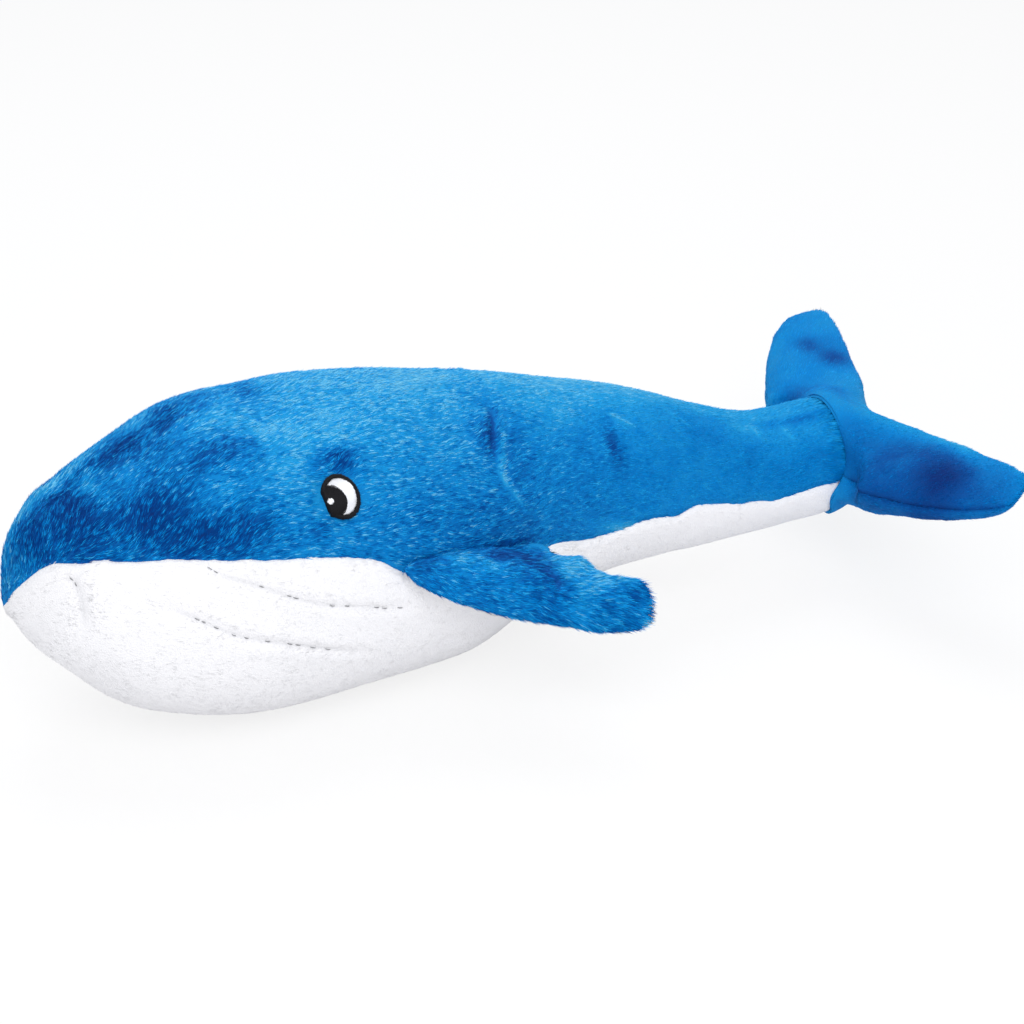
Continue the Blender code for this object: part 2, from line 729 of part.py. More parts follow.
def rest_frame():
    """Parents every loose part to one empty that puts the middle of the resting flat at the origin."""
    base = bpy.data.objects.new("rest_point", None)
    bpy.data.collections[PARTS].objects.link(base)
    base.location = (-REST_DISTANCE, 0, 0)
    bpy.context.view_layer.update()
    for thing in list(bpy.data.collections[PARTS].objects) + list(bpy.data.collections[GUIDES].objects):
        if thing.parent is None and thing is not base:
            thing.parent = base


def main():
    empty_scene()
    skin = body_form()
    make_body(skin)
    cheek = moved_skin("cheek_form", skin, STITCH_GAP, GUIDES)
    pupil_top = moved_skin("pupil_top_form", skin, 2 * STITCH_GAP + EYE_HEIGHT, GUIDES)
    blue = material("blue plush", BLUE, 0.85)
    white = material("white plush", WHITE, 0.9)
    for left in (True, False):
        make_flipper(left, (blue, white))
        make_eye(left, cheek, pupil_top)
    make_flukes((blue, blue))
    rest_frame()


main()
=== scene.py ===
"""Plush whale: the looks. Brushed pile over sewn skins, embroidered eyes and stitched throat grooves."""

import collections
import json
import math

import bmesh
import bpy
import numpy as np
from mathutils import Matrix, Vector


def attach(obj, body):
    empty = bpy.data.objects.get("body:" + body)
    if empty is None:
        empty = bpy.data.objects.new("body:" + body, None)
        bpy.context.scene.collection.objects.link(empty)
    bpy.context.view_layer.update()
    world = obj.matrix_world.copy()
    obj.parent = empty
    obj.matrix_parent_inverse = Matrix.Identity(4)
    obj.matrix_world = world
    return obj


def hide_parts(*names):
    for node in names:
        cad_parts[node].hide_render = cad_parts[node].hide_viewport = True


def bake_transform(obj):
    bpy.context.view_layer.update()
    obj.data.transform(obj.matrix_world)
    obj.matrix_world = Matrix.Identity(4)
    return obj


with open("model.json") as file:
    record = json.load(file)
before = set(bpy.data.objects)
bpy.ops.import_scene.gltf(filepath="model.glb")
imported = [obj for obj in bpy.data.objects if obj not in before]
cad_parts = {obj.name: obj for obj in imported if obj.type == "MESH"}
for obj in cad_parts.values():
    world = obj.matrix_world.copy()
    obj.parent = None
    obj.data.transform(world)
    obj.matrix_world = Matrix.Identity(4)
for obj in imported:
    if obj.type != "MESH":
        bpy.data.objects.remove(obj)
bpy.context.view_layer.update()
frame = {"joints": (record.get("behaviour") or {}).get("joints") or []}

MM = 0.001
FEWER = 1.0

# Body stations behind the snout, in millimetres: distance, radius and underside height, then how squarely the
# belly settles there
STATIONS = (
    (0, 0, 76, 0), (1.857, 9, 66.975, 0), (9.115, 26.25, 52.875, 0), (19.876, 39.525, 40.875, 0.05),
    (38.107, 52.8, 22.5, 0.125), (62.118, 63.975, 9.975, 0.2), (91.912, 72.975, 2.625, 0.25),
    (127.908, 75, -0.3375, 0.25), (166.015, 74.025, -0.5025, 0.225), (216.486, 69, -0.3375, 0.125),
    (248.389, 60.225, 10.875, 0.05), (281.938, 52.5, 18.375, 0), (321.986, 45, 23.25, 0),
    (360.219, 36.525, 24.9, 0), (390.012, 31.5, 26.625, 0), (406.386, 30.525, 28.575, 0), (422, 30, 30, 0),
    (435.5, 26.79, 33.21, 0), (445.4, 18.78, 41.22, 0), (450.5, 9.36, 50.64, 0), (452, 0, 60, 0),
)
REST_DISTANCE = 160.0
BEND_START, BEND_LENGTH, BEND_ANGLE = 205.0, 100.0, math.radians(10.8)

# The seam between blue and white: distance behind the snout and angle down from the back, in degrees
SIDE_SEAM = (
    (0, 48), (0.5, 45), (1.3, 39), (2.2, 38), (3.4, 39.5), (5.7, 42), (8.5, 43), (11.3, 43.5), (14, 44.5),
    (17.5, 48), (23, 51), (30.7, 51), (45.3, 55.5), (60.8, 58.5), (76.2, 63), (92.5, 66.5), (110.4, 69.5),
    (129.1, 72), (143.1, 75), (200, 86), (230, 99), (240, 99), (247, 94), (255.7, 94.5), (270, 98),
    (283.2, 99.5), (295.3, 99), (307.5, 98), (319.1, 97.5), (330.1, 97), (342.2, 91), (354.3, 92),
    (366.4, 93.5), (378.6, 94.5), (390.3, 97.5), (401.5, 95.5), (412.8, 93.5), (420.7, 94), (427.5, 97),
    (429.4, 104), (430.2, 140), (430.6, 176), (452, 176),
)

# Stitched throat grooves on each side, as points of distance and angle
THROAT_GROOVES = (
    ((17.4, 57), (19.3, 69), (19.8, 99.5)),
    ((45.4, 71), (60.4, 82), (87.4, 96.5), (124.5, 107.5), (146.3, 113.5)),
    ((70, 63.5), (80.6, 71), (108.6, 84), (141, 93), (166.1, 98.5)),
)

GROOVE_LINES = [(side, marks) for side in (1, -1) for marks in THROAT_GROOVES]

# Places where the blue pile is brushed the other way and looks darker or lighter, with a painted sheen along
# the back and crown and painted shade in the fold over the flipper: distance, angle, half length and half
# width in millimetres, and how much lighter
BRUSHED_AND_PAINTED_LIGHT = (
    # snout and forehead
    (11, 10, 5, 15, -0.30), (21, 47, 6, 9, 0.15), (25, -25, 32, 10, 0.35), (26, 25, 13, 30, -0.55),
    (38, 5, 6, 11, 0.35), (63, -8, 33, 14, -0.50), (71, -12, 6, 14, 0.35), (95, 10, 15, 16, 0.35),
    # cheek
    (54, 38, 15, 15, -0.55), (74, 50, 18, 11, -0.50), (83, 44, 11, 9, 0.35), (88, 22, 30, 45, -0.40),
    (91, 58, 15, 8, -0.25), (103, 23, 19, 8, -0.35), (112, 22, 15, 7, 0.35),
    # round the eye, and the crown above it with a painted sheen
    (99, 31, 60, 31, 0.35), (101, -12, 88, 25, 0.22), (121, 61, 5, 5, -0.20), (122, -9, 7, 16, -0.35),
    (140, 40, 12, 8, -0.50),
    # back and waist, with a painted sheen along the top of the back
    (198, 67, 45, 11, -0.10), (218, 0, 83, 45, 0.28), (221, 38, 7, 10, -0.25), (233, 27, 15, 36, -0.20),
    (273, 28, 7, 10, 0.12), (296, 49, 5, 14, -0.18), (339, -26, 88, 44, 0.28),
    # tail
    (286, 45, 50, 41, -0.10), (298, 99, 14, 4, 0.35), (351, 20, 21, 14, -0.15), (376, 19, 9, 5, 0.15),
    (383, 61, 50, 16, -0.12), (411, 17, 35, 4, -0.20),
    # the fold over the flipper: painted shade
    (210, 84, 24, 6, -0.26), (224, 84, 14, 6, -0.14),
    # the side away from the camera
    (28, -50, 14, 16, -0.30), (60, -52, 16, 14, -0.34), (100, -70, 40, 20, -0.12), (128, -55, 22, 14, -0.20),
    (190, -58, 18, 18, -0.20), (290, -60, 20, 14, -0.16),
)

# Creases pressed into the skin: points of distance and angle, then depth and half width in millimetres
CREASES = (
    # the waist, and the ridge behind it
    (((233.2, 22), (229.4, 31.5), (224, 40), (221.5, 47)), 1.4, 2.0),
    (((239.9, 19.5), (233, 34), (227, 46.5), (224, 55), (231, 66.5), (236, 75)), -0.8, 1.4),
    # small ones between the waist and the tail
    (((298.6, 27), (298, 32), (297, 46), (296.4, 61)), 0.3, 3.4),
    (((380.8, 10), (384.2, 22.5), (385.3, 33), (388.1, 41.5)), -0.5, 0.9),
    (((397.6, 12), (400.4, 33), (403.8, 46)), -0.5, 0.9),
    (((301, 26), (307, 32), (313.6, 37.5)), -0.7, 1.2),
    (((333, 14), (339, 22), (346, 31)), -0.5, 1.0),
    # the waist on the other side
    (((236, -14), (233, -30), (226, -44)), 1.3, 2.8),
)

# Broad places where the body is fuller or leaner: distance, angle, half length, half width and height
FULLNESS = (
    (25, 0, 14, 26, -3.0), (4, 0, 8, 20, 3.0), (302, 0, 42, 46, -3.0), (385, 0, 50, 36, -2.3),
    (235, 0, 30, 40, -1.2), (95, 0, 30, 30, 0.5), (9, 35, 9, 14, 1.6),
)

# How seams and grooves draw the skin in, as depth and width, then the rim beside a groove and the hold round
# an eye, as height or depth, distance and width, then the skin's lumps, as height and size
SEAM_FOLD, BACK_FOLD, GROOVE_FOLD = (1.1, 2.4), (0.7, 2.2), (1.3, 1.9)
GROOVE_RIM, EYE_HOLD = (0.3, 5.0, 3.0), (1.0, 11.0, 4.0)
BODY_LUMPS = ((0.55, 26.0), (0.22, 11.0))

# The flipper's brushed places, across its reach and along its root in shares of them, darker with painted
# shade where its skin is drawn into folds and lighter with a painted highlight over its hump: place, half
# sizes, how much lighter, and how far the skin stands out in millimetres
FLIPPER_BRUSHED_AND_PAINTED_LIGHT = (
    # the root, with painted shade in its folds and a painted highlight where it stands out
    (-0.05, -0.80, 0.13, 0.16, -0.18, 0), (0.12, -0.35, 0.07, 0.14, 0.24, 0.5),
    (0.16, 0.70, 0.08, 0.30, -0.30, -1.6), (0.20, 0.05, 0.07, 0.16, -0.34, -0.5),
    (0.23, 0.45, 0.40, 0.34, -0.34, -1.0), (0.25, -0.10, 0.08, 0.18, 0.26, 0.4),
    (0.30, -0.25, 0.07, 0.13, -0.16, 0),
    # the hump at the trailing edge, with a painted highlight, and the fold in front of it, with painted shade
    (0.42, 1.02, 0.58, 0.55, 0.28, 0), (0.43, 1.04, 0.11, 0.18, 0, 3.8),
    (0.53, 0.47, 0.13, 0.07, -0.30, -1.4), (0.57, 0.70, 0.24, 0.17, 0.22, 0.4),
    (0.60, 0.80, 0.06, 0.11, -0.30, -0.8),
    # the tip
    (0.80, 1.12, 0.06, 0.18, 0.20, 0.3), (0.82, 0.86, 0.08, 0.42, -0.25, 0),
    (0.92, 1.18, 0.05, 0.24, -0.28, -0.4),
)

# The flukes' brushed places, darker on the left lobe by painted shade, in millimetres across and behind the
# tail's end: place, half sizes, how much lighter
FLUKE_BRUSHED_AND_PAINTED_SHADE = (
    # the left lobe, from its tip inwards, its darker places painted shade
    (-122, 33, 39, 11, -0.10), (-110, 60, 34, 5, 0.25), (-90, 26, 14, 13, -0.30), (-64, 22, 24, 24, -0.44),
    (-64, 20, 15, 12, 0.28), (-62, 50, 21, 7, 0.28), (-42, 50, 40, 17, 0.28),
    # over the tail's end
    (-26, 11, 13, 9, -0.14), (0, 33, 40, 40, 0.26), (13, 20, 11, 7, -0.22), (36, 7, 13, 9, -0.24),
    (45, 0, 18, 5, 0.22),
    # the right lobe
    (57, 40, 10, 7, -0.32), (77, 34, 10, 6, -0.28), (92, 9, 40, 40, 0.16), (118, 57, 40, 10, 0.18),
)

# Eyes: place on the head, then the outline's half sizes and how far forward its straight front edge is, the
# outline's widths, and how deep the padding goes
EYE_DISTANCE, EYE_ANGLE, EYE_SLANT = 136.4, 52.0, math.radians(-5)
EYE_HALF_WIDTH, EYE_HALF_HEIGHT, EYE_FLAT = 8.8, 10.3, 7.9
OUTLINE_WIDTH, OUTLINE_FRONT_WIDTH, PAD_DEPTH = 1.8, 1.0, 1.4

# The patches inside the outline: half sizes and front edge, place forward and up, spacing and lean of the
# threads, height and crown of the padding, height, crown and steps of the threads, their radius, and how many
# of the outline's points the padding skips
EYE_PATCHES = (
    ("white", (7.2, 8.7, 7.0), (0.0, 0.0), (0.42, 0.35), (0.95, 0.35), (1.2, 0.32, 9), 0.25, 2),
    ("pupil", (6.0, 7.1, 3.3), (4.3, -1.0), (0.44, -0.12), (1.35, 0.4), (1.6, 0.4, 9), 0.28, 2),
    ("glint", (1.5, 1.4, None), (6.1, -0.8), (0.4, 0.5), (1.75, 0.35), (2.0, 0.3, 5), 0.24, 4),
)

# Flipper sections as shares: reach, leading and trailing edge along the root, their heights, thickness. Then
# the two ends of its root seam on the body, as distance and angle
FLIPPER_SECTIONS = (
    (0.000, -1.000, 1.000, 0.000, 0.000, 0.00), (0.183, -0.683, 1.080, -0.430, -0.080, 0.90),
    (0.410, -0.175, 1.093, -0.710, -0.090, 1.00), (0.595, 0.275, 1.145, -0.840, -0.090, 0.95),
    (0.775, 0.700, 1.250, -0.940, -0.010, 0.84), (0.910, 1.070, 1.335, -0.900, -0.050, 0.62),
)
FLIPPER_TIP = (1.000, 1.265, -0.620)
FLIPPER_ROOT = ((158.0, 80.0), (233.6, 86.0))
FLIPPER_REACH, FLIPPER_DROP = 72.5, 22.5
FLIPPER_THICKNESS, FLIPPER_ROOT_THICKNESS, FLIPPER_TOP_SHARE = 19.0, 5.5, 0.66

# Fluke sections from the middle to a tip: span, leading and trailing edge as shares, thickness, share above
# the edge seam and rise of the seam
FLUKE_SECTIONS = (
    (0.000, 0.050, 0.590, 2.20, 0.50, 0.70), (0.265, -0.030, 0.735, 1.55, 0.337, 0.35),
    (0.463, 0.020, 0.842, 1.15, 0.374, 0.00), (0.678, 0.200, 0.950, 0.82, 0.42, 0.00),
    (0.860, 0.420, 1.005, 0.58, 0.44, 0.00), (0.950, 0.575, 0.945, 0.38, 0.46, 0.00),
)
FLUKE_TIP = (1.000, 0.760)
FLUKE_HALF_SPAN, FLUKE_CHORD, FLUKE_THICKNESS, FLUKE_PLANE_DROP = 121.0, 66.0, 27.0, 1.2
FLUKE_TILT = math.radians(27)
TAIL_RADIUS = 30.0

# The collar the flukes are sewn on by: how far behind the tail's centre it starts, how far it reaches forward
# over the tail, the width of its flare and its radius; then its front line behind the snout, how much further
# forward that is at the lobes, at what angle, and how deep the tail is drawn in under it; and how many times
# the skin beside it is smoothed
COLLAR_START, COLLAR_REACH, COLLAR_FLARE, COLLAR_RADIUS = 9.0, 6.0, 18.0, 30.1
COLLAR_LINE, COLLAR_FORWARD, COLLAR_LOBE_ANGLE, COLLAR_SEAT = 427.6, 5.0, 1.95, 1.9
COLLAR_PASSES = 90

# Fullest points of a limb's section: place along its chord and fullness
SECTION_POINTS = ((0.28, 1.00), (0.70, 0.72))

# Thickness of the sewn plush, how firmly it is stuffed, and where the body's pile is parted in two pieces
BODY_PLUSH, LIMB_PLUSH = 2.4, 1.6
BODY_FILL, LIMB_FILL = 0.85, 0.7
PILE_PARTING = 0.42

# Fineness of the skins: row spacing on the body and columns of its panels, rows and columns of the limbs
SKIN_STEP, SIDE_COLUMNS, BELLY_COLUMNS = 1.5, 84, 190
FLIPPER_GRID, FLUKE_GRID = (96, 96), (200, 108)

# Places on the limbs: from the root's middle outwards, and behind the tail's centre
FLIPPER_BEND, FLUKE_BEND = (1.0, 15.0), (12.0, 34.0)

# Camera of the photograph's view, in metres, and the lamps: place, size and power
CAMERA_PLACE, CAMERA_AIM, CAMERA_LENS = (-0.4428, -0.9251, 0.6067), (0.0992, 0.0, 0.0549), 85.24
LAMPS = {"key": ((-0.35, -0.95, 1.05), 0.9, 10.0), "top": ((0.25, 0.55, 1.30), 1.0, 7.0)}
LAMP_AIM = (0.05, 0.0, 0.06)

# Surroundings as they light the whale, and the floor in millimetres, with how much it shows as plain white
AMBIENT_COLOUR, AMBIENT_STRENGTH, PLAIN_WHITE = (0.93, 0.95, 1.0, 1), 0.675, (1, 1, 1, 1)
FLOOR_REACH, FLOOR_COLOUR, FLOOR_GLOW = 12000, (0.88, 0.88, 0.88, 1), 0.80


def unit(vectors):
    """The vectors at length one, along the last axis."""
    return vectors / np.maximum(np.linalg.norm(vectors, axis=-1, keepdims=True), 1e-9)


def bell(place, width=1.0, power=2):
    """One at place 0, falling away smoothly on both sides."""
    return np.exp(-np.abs(place / width) ** power)


class Softness:
    """Smooth random values through space, the same each time, for mottling and for tufts of pile."""

    SIZE = 32

    def __init__(self, seed, channels=1):
        self.grid = np.random.default_rng(seed).random((self.SIZE,) * 3 + (channels,)) * 2 - 1

    def __call__(self, points, scale):
        """Values from about -1 to 1 at points, over lumps of the given size in millimetres."""
        place = np.asarray(points) / scale + 1000.5
        low = np.floor(place).astype(int)
        share = place - low
        share = share * share * (3 - 2 * share)
        total = 0
        for corner in np.ndindex(2, 2, 2):
            weight = np.ones(share.shape[:-1])
            for axis in range(3):
                weight = weight * (share[..., axis] if corner[axis] else 1 - share[..., axis])
            index = (low + corner) % self.SIZE
            total = total + weight[..., None] * self.grid[index[..., 0], index[..., 1], index[..., 2]]
        return total


def through_points(places, values, wanted):
    """Smooth curve of values through unevenly placed points, read at the wanted places."""
    places, values = np.asarray(places, float), np.asarray(values, float).reshape(len(places), -1)
    gap = np.diff(places)[:, None]
    slope = np.diff(values, axis=0) / gap
    tangent = np.zeros_like(values)
    tangent[1:-1] = (gap[:-1] * slope[1:] + gap[1:] * slope[:-1]) / (gap[:-1] + gap[1:])
    tangent[0], tangent[-1] = slope[0], slope[-1]
    wanted = np.clip(wanted, places[0], places[-1])
    span = np.clip(np.searchsorted(places, wanted, side="right") - 1, 0, len(places) - 2)
    length = gap[span]
    t = ((wanted - places[span])[..., None]) / length
    start = (1 + 2 * t) * (1 - t) ** 2 * values[span] + t * (1 - t) ** 2 * length * tangent[span]
    return start + t * t * (3 - 2 * t) * values[span + 1] + t * t * (t - 1) * length * tangent[span + 1]


def closed_curve(points, places):
    """Points at fractional places along the smooth closed curve through evenly counted points."""
    count = len(points)
    shift = np.roll(np.eye(count), 1, 0)
    knots = np.linalg.solve((np.eye(count) * 4 + shift + shift.T) / 6, points.reshape(count, -1))
    first = np.floor(places).astype(int)
    t = (places - first)[:, None]
    shares = ((1 - t) ** 3, 3 * t ** 3 - 6 * t ** 2 + 4, -3 * t ** 3 + 3 * t ** 2 + 3 * t + 1, t ** 3)
    found = sum(share * knots[(first + step) % count] for step, share in zip((-1, 0, 1, 2), shares)) / 6
    return found.reshape((len(places),) + points.shape[1:])


def line_distance(points, line):
    """Distance of flat points to a line of straight pieces, and a share that falls to 0 at its ends."""
    nearest, along = np.full(points.shape[:-1], 1e9), np.zeros(points.shape[:-1])
    for index, (start, end) in enumerate(zip(line[:-1], line[1:])):
        run = end - start
        share = np.clip(((points - start) @ run) / (run @ run), 0, 1)
        away = np.linalg.norm(points - start - share[..., None] * run, axis=-1)
        along = np.where(away < nearest, (index + share) / (len(line) - 1), along)
        nearest = np.minimum(nearest, away)
    return nearest, np.clip(4 * np.minimum(along, 1 - along), 0, 1) ** 0.7


class Body:
    """The stuffed body, addressed by how far along its profile and at what angle down from the back."""

    def __init__(self):
        table = np.array(STATIONS)
        step = np.hypot(np.diff(table[:, 0]), np.diff(table[:, 1]))
        self.runs = np.concatenate([[0], np.cumsum(step)])
        self.length = self.runs[-1]
        middle = table[:, 1] + table[:, 2]
        before = [-self.runs[1], *self.runs, 2 * self.length - self.runs[-2]]
        distance = [table[1, 0], *table[:, 0], table[-2, 0]]
        radius = [-table[1, 1], *table[:, 1], -table[-2, 1]]
        height = [middle[1], *middle, middle[-2]]
        square = [0, *table[:, 3], 0]
        self.fine = np.linspace(0, self.length, 3001)
        self.profile = through_points(before, np.stack([distance, radius, height, square], 1), self.fine)
        self.profile[:, 1] = np.maximum(self.profile[:, 1], 0)
        seam = np.array(SIDE_SEAM)
        smooth = np.radians(through_points(seam[:, 0], seam[:, 1], self.profile[:, 0])[:, 0])
        smooth = np.minimum(smooth, math.radians(176))
        self.lumps = Softness(3)
        self.dark = Softness(4)
        self.seams = {side: smooth + self.wander(side) for side in (1, -1)}

    def wander(self, side):
        """How the pile's edge strays from the seam under it, as an angle down the side. Blue pile also lies
        round the front of the flipper's root."""
        x, radius = self.profile[:, 0], self.profile[:, 1]
        places = np.stack([x, np.full(x.shape, 200.0 * side), x * 0], -1)
        ragged = self.lumps(places, 2.6)[:, 0] * 0.55 + self.lumps(places, 6.5)[:, 0] * 0.9
        ragged = ragged + self.dark(places, 16.0)[:, 0] * 0.8
        root = 6.5 * bell(x - 162.0, 11.0)
        fade = np.clip(x / 12, 0, 1) * np.clip((430 - x) / 10, 0, 1)
        return (ragged * fade + root) / np.maximum(radius, 12)

    def read(self, run):
        return [np.interp(run, self.fine, self.profile[:, column]) for column in range(4)]

    def run_at(self, distance):
        return np.interp(distance, self.profile[:, 0], self.fine)

    def seam(self, run, side):
        return np.interp(run, self.fine, self.seams[side])

    def plain(self, run, angle):
        """Points of the smooth bent body, before creases, in the row frame in millimetres."""
        x, radius, height, square = self.read(run)
        across, down = np.abs(np.sin(angle)), np.maximum(-np.cos(angle), 0)
        power = 2 + square
        squarer = np.maximum(across ** power + down ** power, 0.1) ** (-1 / power)
        reach = radius * np.where(np.cos(angle) < 0, squarer, 1)
        y, z = -reach * np.sin(angle), height + reach * np.cos(angle)
        heading = BEND_ANGLE * np.clip((x - BEND_START) / BEND_LENGTH, 0, 1)
        turn = BEND_LENGTH / BEND_ANGLE
        past, before = np.maximum(x - BEND_START - BEND_LENGTH, 0), np.minimum(x - BEND_START, 0)
        middle_x = BEND_START + before + turn * np.sin(heading) + past * np.cos(heading)
        middle_y = -turn * (1 - np.cos(heading)) - past * np.sin(heading)
        bent_x, bent_y = middle_x + y * np.sin(heading), middle_y + y * np.cos(heading)
        return np.stack([bent_x - REST_DISTANCE, bent_y, z], -1)

    def flat_place(self, run, angle):
        """Place on the body's skin laid flat, in millimetres, for measuring along it."""
        x, radius, _, _ = self.read(run)
        return np.stack([x, radius * angle], -1)

    def mark(self, distance, angle_degrees):
        """Flat place of a mark given by distance behind the snout and angle down from the back."""
        _, radius, _, _ = self.read(self.run_at(distance))
        return np.array([distance, radius * math.radians(angle_degrees)])

    def line(self, marks, side, samples=24):
        """A line of marks on one side, -1 for the whale's right, as flat points close together."""
        flat = np.array([self.mark(distance, angle * side) for distance, angle in marks])
        return through_points(range(len(flat)), flat, np.linspace(0, len(flat) - 1, samples))

    def press(self, run, angle):
        """How far the skin stands out or is drawn in, in millimetres."""
        flat = self.flat_place(run, angle)
        x, radius, _, _ = self.read(run)
        seam = radius * (np.abs(angle) - np.where(angle > 0, self.seam(run, 1), self.seam(run, -1)))
        (seam_depth, seam_width), (back_depth, back_width) = SEAM_FOLD, BACK_FOLD
        (groove_depth, groove_width), (rim, rim_place, rim_width) = GROOVE_FOLD, GROOVE_RIM
        full = np.clip(radius / TAIL_RADIUS, 0, 1)
        out = -seam_depth * bell(seam, seam_width) * full - back_depth * bell(flat[..., 1], back_width) * full
        for side, marks in GROOVE_LINES:
            near, fade = line_distance(flat, self.line(marks, side))
            pressed = groove_depth * bell(near, groove_width) - rim * bell(near - rim_place, rim_width)
            out = out - fade * pressed
        for marks, depth, width in CREASES:
            near, fade = line_distance(flat, self.line(marks, 1))
            beside = bell(near - 2.4 * width, width)
            out = out - depth * fade * (bell(near, width) - 0.3 * beside)
        for distance, place, half_long, half_wide, height in FULLNESS:
            down = radius * (np.abs(angle) - math.radians(place))
            away = np.stack([x - distance, down], -1) / (half_long, half_wide)
            out = out + height * np.exp(-(away ** 2).sum(-1))
        out = out - COLLAR_SEAT * np.clip((x - self.collar_front(angle)) / 3, 0, 1)
        points = self.plain(run, angle)
        lumps = sum(height * self.lumps(points, size)[..., 0] for height, size in BODY_LUMPS)
        return out + lumps - self.eye_dent(flat)

    def collar_front(self, angle):
        """How far behind the snout the flukes' collar begins, further forward where the lobes leave it."""
        return COLLAR_LINE - COLLAR_FORWARD * bell(np.abs(angle) - COLLAR_LOBE_ANGLE, 0.4)

    def before_collar(self, x, angle):
        """One where the body's pile stands, which ends just under the collar, and zero behind that."""
        return np.where(x < self.collar_front(angle) + 3.5, 1.0, 0.0)

    def crease_shade_and_highlight(self, flat, points):
        """Painted shade along a crease and a painted highlight here and there on a ridge."""
        lighter = 0
        for marks, depth, width in CREASES:
            near, fade = line_distance(flat, self.line(marks, 1))
            darker = np.clip(0.4 * depth, -0.34, 0.26)
            lighter = lighter - darker * fade * bell(near, width * 1.2)
        return lighter * (0.9 + 0.6 * self.dark(points, 4.0)[..., 0])

    def eye_dent(self, flat):
        """The embroidery holds the plush down round each eye."""
        deep, (depth, place, width) = 0, EYE_HOLD
        for side in (1, -1):
            near = np.linalg.norm(flat - self.mark(EYE_DISTANCE, EYE_ANGLE * side), axis=-1)
            deep = deep + depth * bell(near - place, width)
        return deep

    def way_out(self, run, angle, surface):
        """Unit normals of a surface of run and angle."""
        run = np.clip(run, 0.4, self.length - 0.4)
        along = surface(run + 0.3, angle) - surface(run - 0.3, angle)
        around = surface(run, angle + 0.004) - surface(run, angle - 0.004)
        return unit(np.cross(around, along))

    def skin(self, run, angle):
        """Points of the pressed skin, flattened where the whale rests."""
        points = self.plain(run, angle)
        points = points + self.way_out(run, angle, self.plain) * self.press(run, angle)[..., None]
        points[..., 2] = np.maximum(points[..., 2], 0.5)
        return points


class Skin:
    """Grid of skin with what the pile needs to know at each of its points."""

    FIELDS = ("shade", "streaks", "length", "lean", "cover")

    def __init__(self, points, out, comb, **fields):
        self.points, self.out, self.comb = points, out, unit(comb)
        for name in self.FIELDS:
            setattr(self, name, np.broadcast_to(fields[name], points.shape[:2]).astype(float))

    def part(self, rows):
        """The same skin between two of its rows."""
        fields = {name: getattr(self, name)[rows] for name in self.FIELDS}
        return Skin(self.points[rows], self.out[rows], self.comb[rows], **fields)


def build_mesh(name, points, faces):
    """Object from points in millimetres and a list of arrays of faces."""
    mesh = bpy.data.meshes.new(name)
    corners = np.concatenate([np.asarray(block).reshape(-1) for block in faces])
    sizes = np.concatenate([np.full(len(block), np.asarray(block).shape[1]) for block in faces])
    mesh.vertices.add(len(points))
    mesh.vertices.foreach_set("co", (np.asarray(points) * MM).astype(np.float32).ravel())
    mesh.loops.add(len(corners))
    mesh.loops.foreach_set("vertex_index", corners.astype(np.int32))
    mesh.polygons.add(len(sizes))
    mesh.polygons.foreach_set("loop_start", np.concatenate([[0], np.cumsum(sizes)[:-1]]).astype(np.int32))
    mesh.update(calc_edges=True)
    mesh.shade_smooth()
    made = bpy.data.objects.new(name, mesh)
    bpy.context.scene.collection.objects.link(made)
    return made


def set_layout(made, across, along):
    """Lays the mesh out flat for its finish, one place for each point."""
    layer = made.data.uv_layers.new(name="OFBake")
    corners = np.zeros(len(made.data.loops), np.int32)
    made.data.loops.foreach_get("vertex_index", corners)
    layer.data.foreach_set("uv", np.stack([across, along], -1)[corners].astype(np.float32).ravel())


def shell(name, skin, finish, thickness):
    """Closed shell of plush backing: the skin's grid, its inside and the edges between."""
    rows, columns = skin.points.shape[:2]
    outer = skin.points.reshape(-1, 3)
    inner = outer - skin.out.reshape(-1, 3) * thickness
    index = np.arange(rows * columns).reshape(rows, columns)
    face = np.stack([index[:-1, :-1], index[:-1, 1:], index[1:, 1:], index[1:, :-1]], -1).reshape(-1, 4)
    rim = np.concatenate([index[0, :-1], index[:-1, -1], index[-1, :0:-1], index[:0:-1, 0]])
    beside = np.roll(rim, -1)
    away = rows * columns
    walls = np.stack([rim, rim + away, beside + away, beside], -1)
    made = build_mesh(name, np.concatenate([outer, inner]), [face, face[:, ::-1] + away, walls])
    across, along = np.meshgrid(np.linspace(0.01, 0.99, columns), np.linspace(0.01, 0.93, rows))
    set_layout(made, np.concatenate([across.ravel()] * 2),
               np.concatenate([along.ravel(), 0.94 + along.ravel() * 0.05]))
    shade = made.data.attributes.new("shade", "FLOAT", "POINT")
    shade.data.foreach_set("value", np.tile(skin.shade.ravel(), 2).astype(np.float32))
    clean(made)
    made.data.materials.append(finish)
    return made


def clean(made):
    """Joins points that lie on each other, such as those at a pole, and turns all faces outwards."""
    form = bmesh.new()
    form.from_mesh(made.data)
    bmesh.ops.remove_doubles(form, verts=form.verts, dist=0.02 * MM)
    bmesh.ops.dissolve_degenerate(form, edges=form.edges, dist=0.005 * MM)
    bmesh.ops.recalc_face_normals(form, faces=form.faces)
    form.to_mesh(made.data)
    form.free()


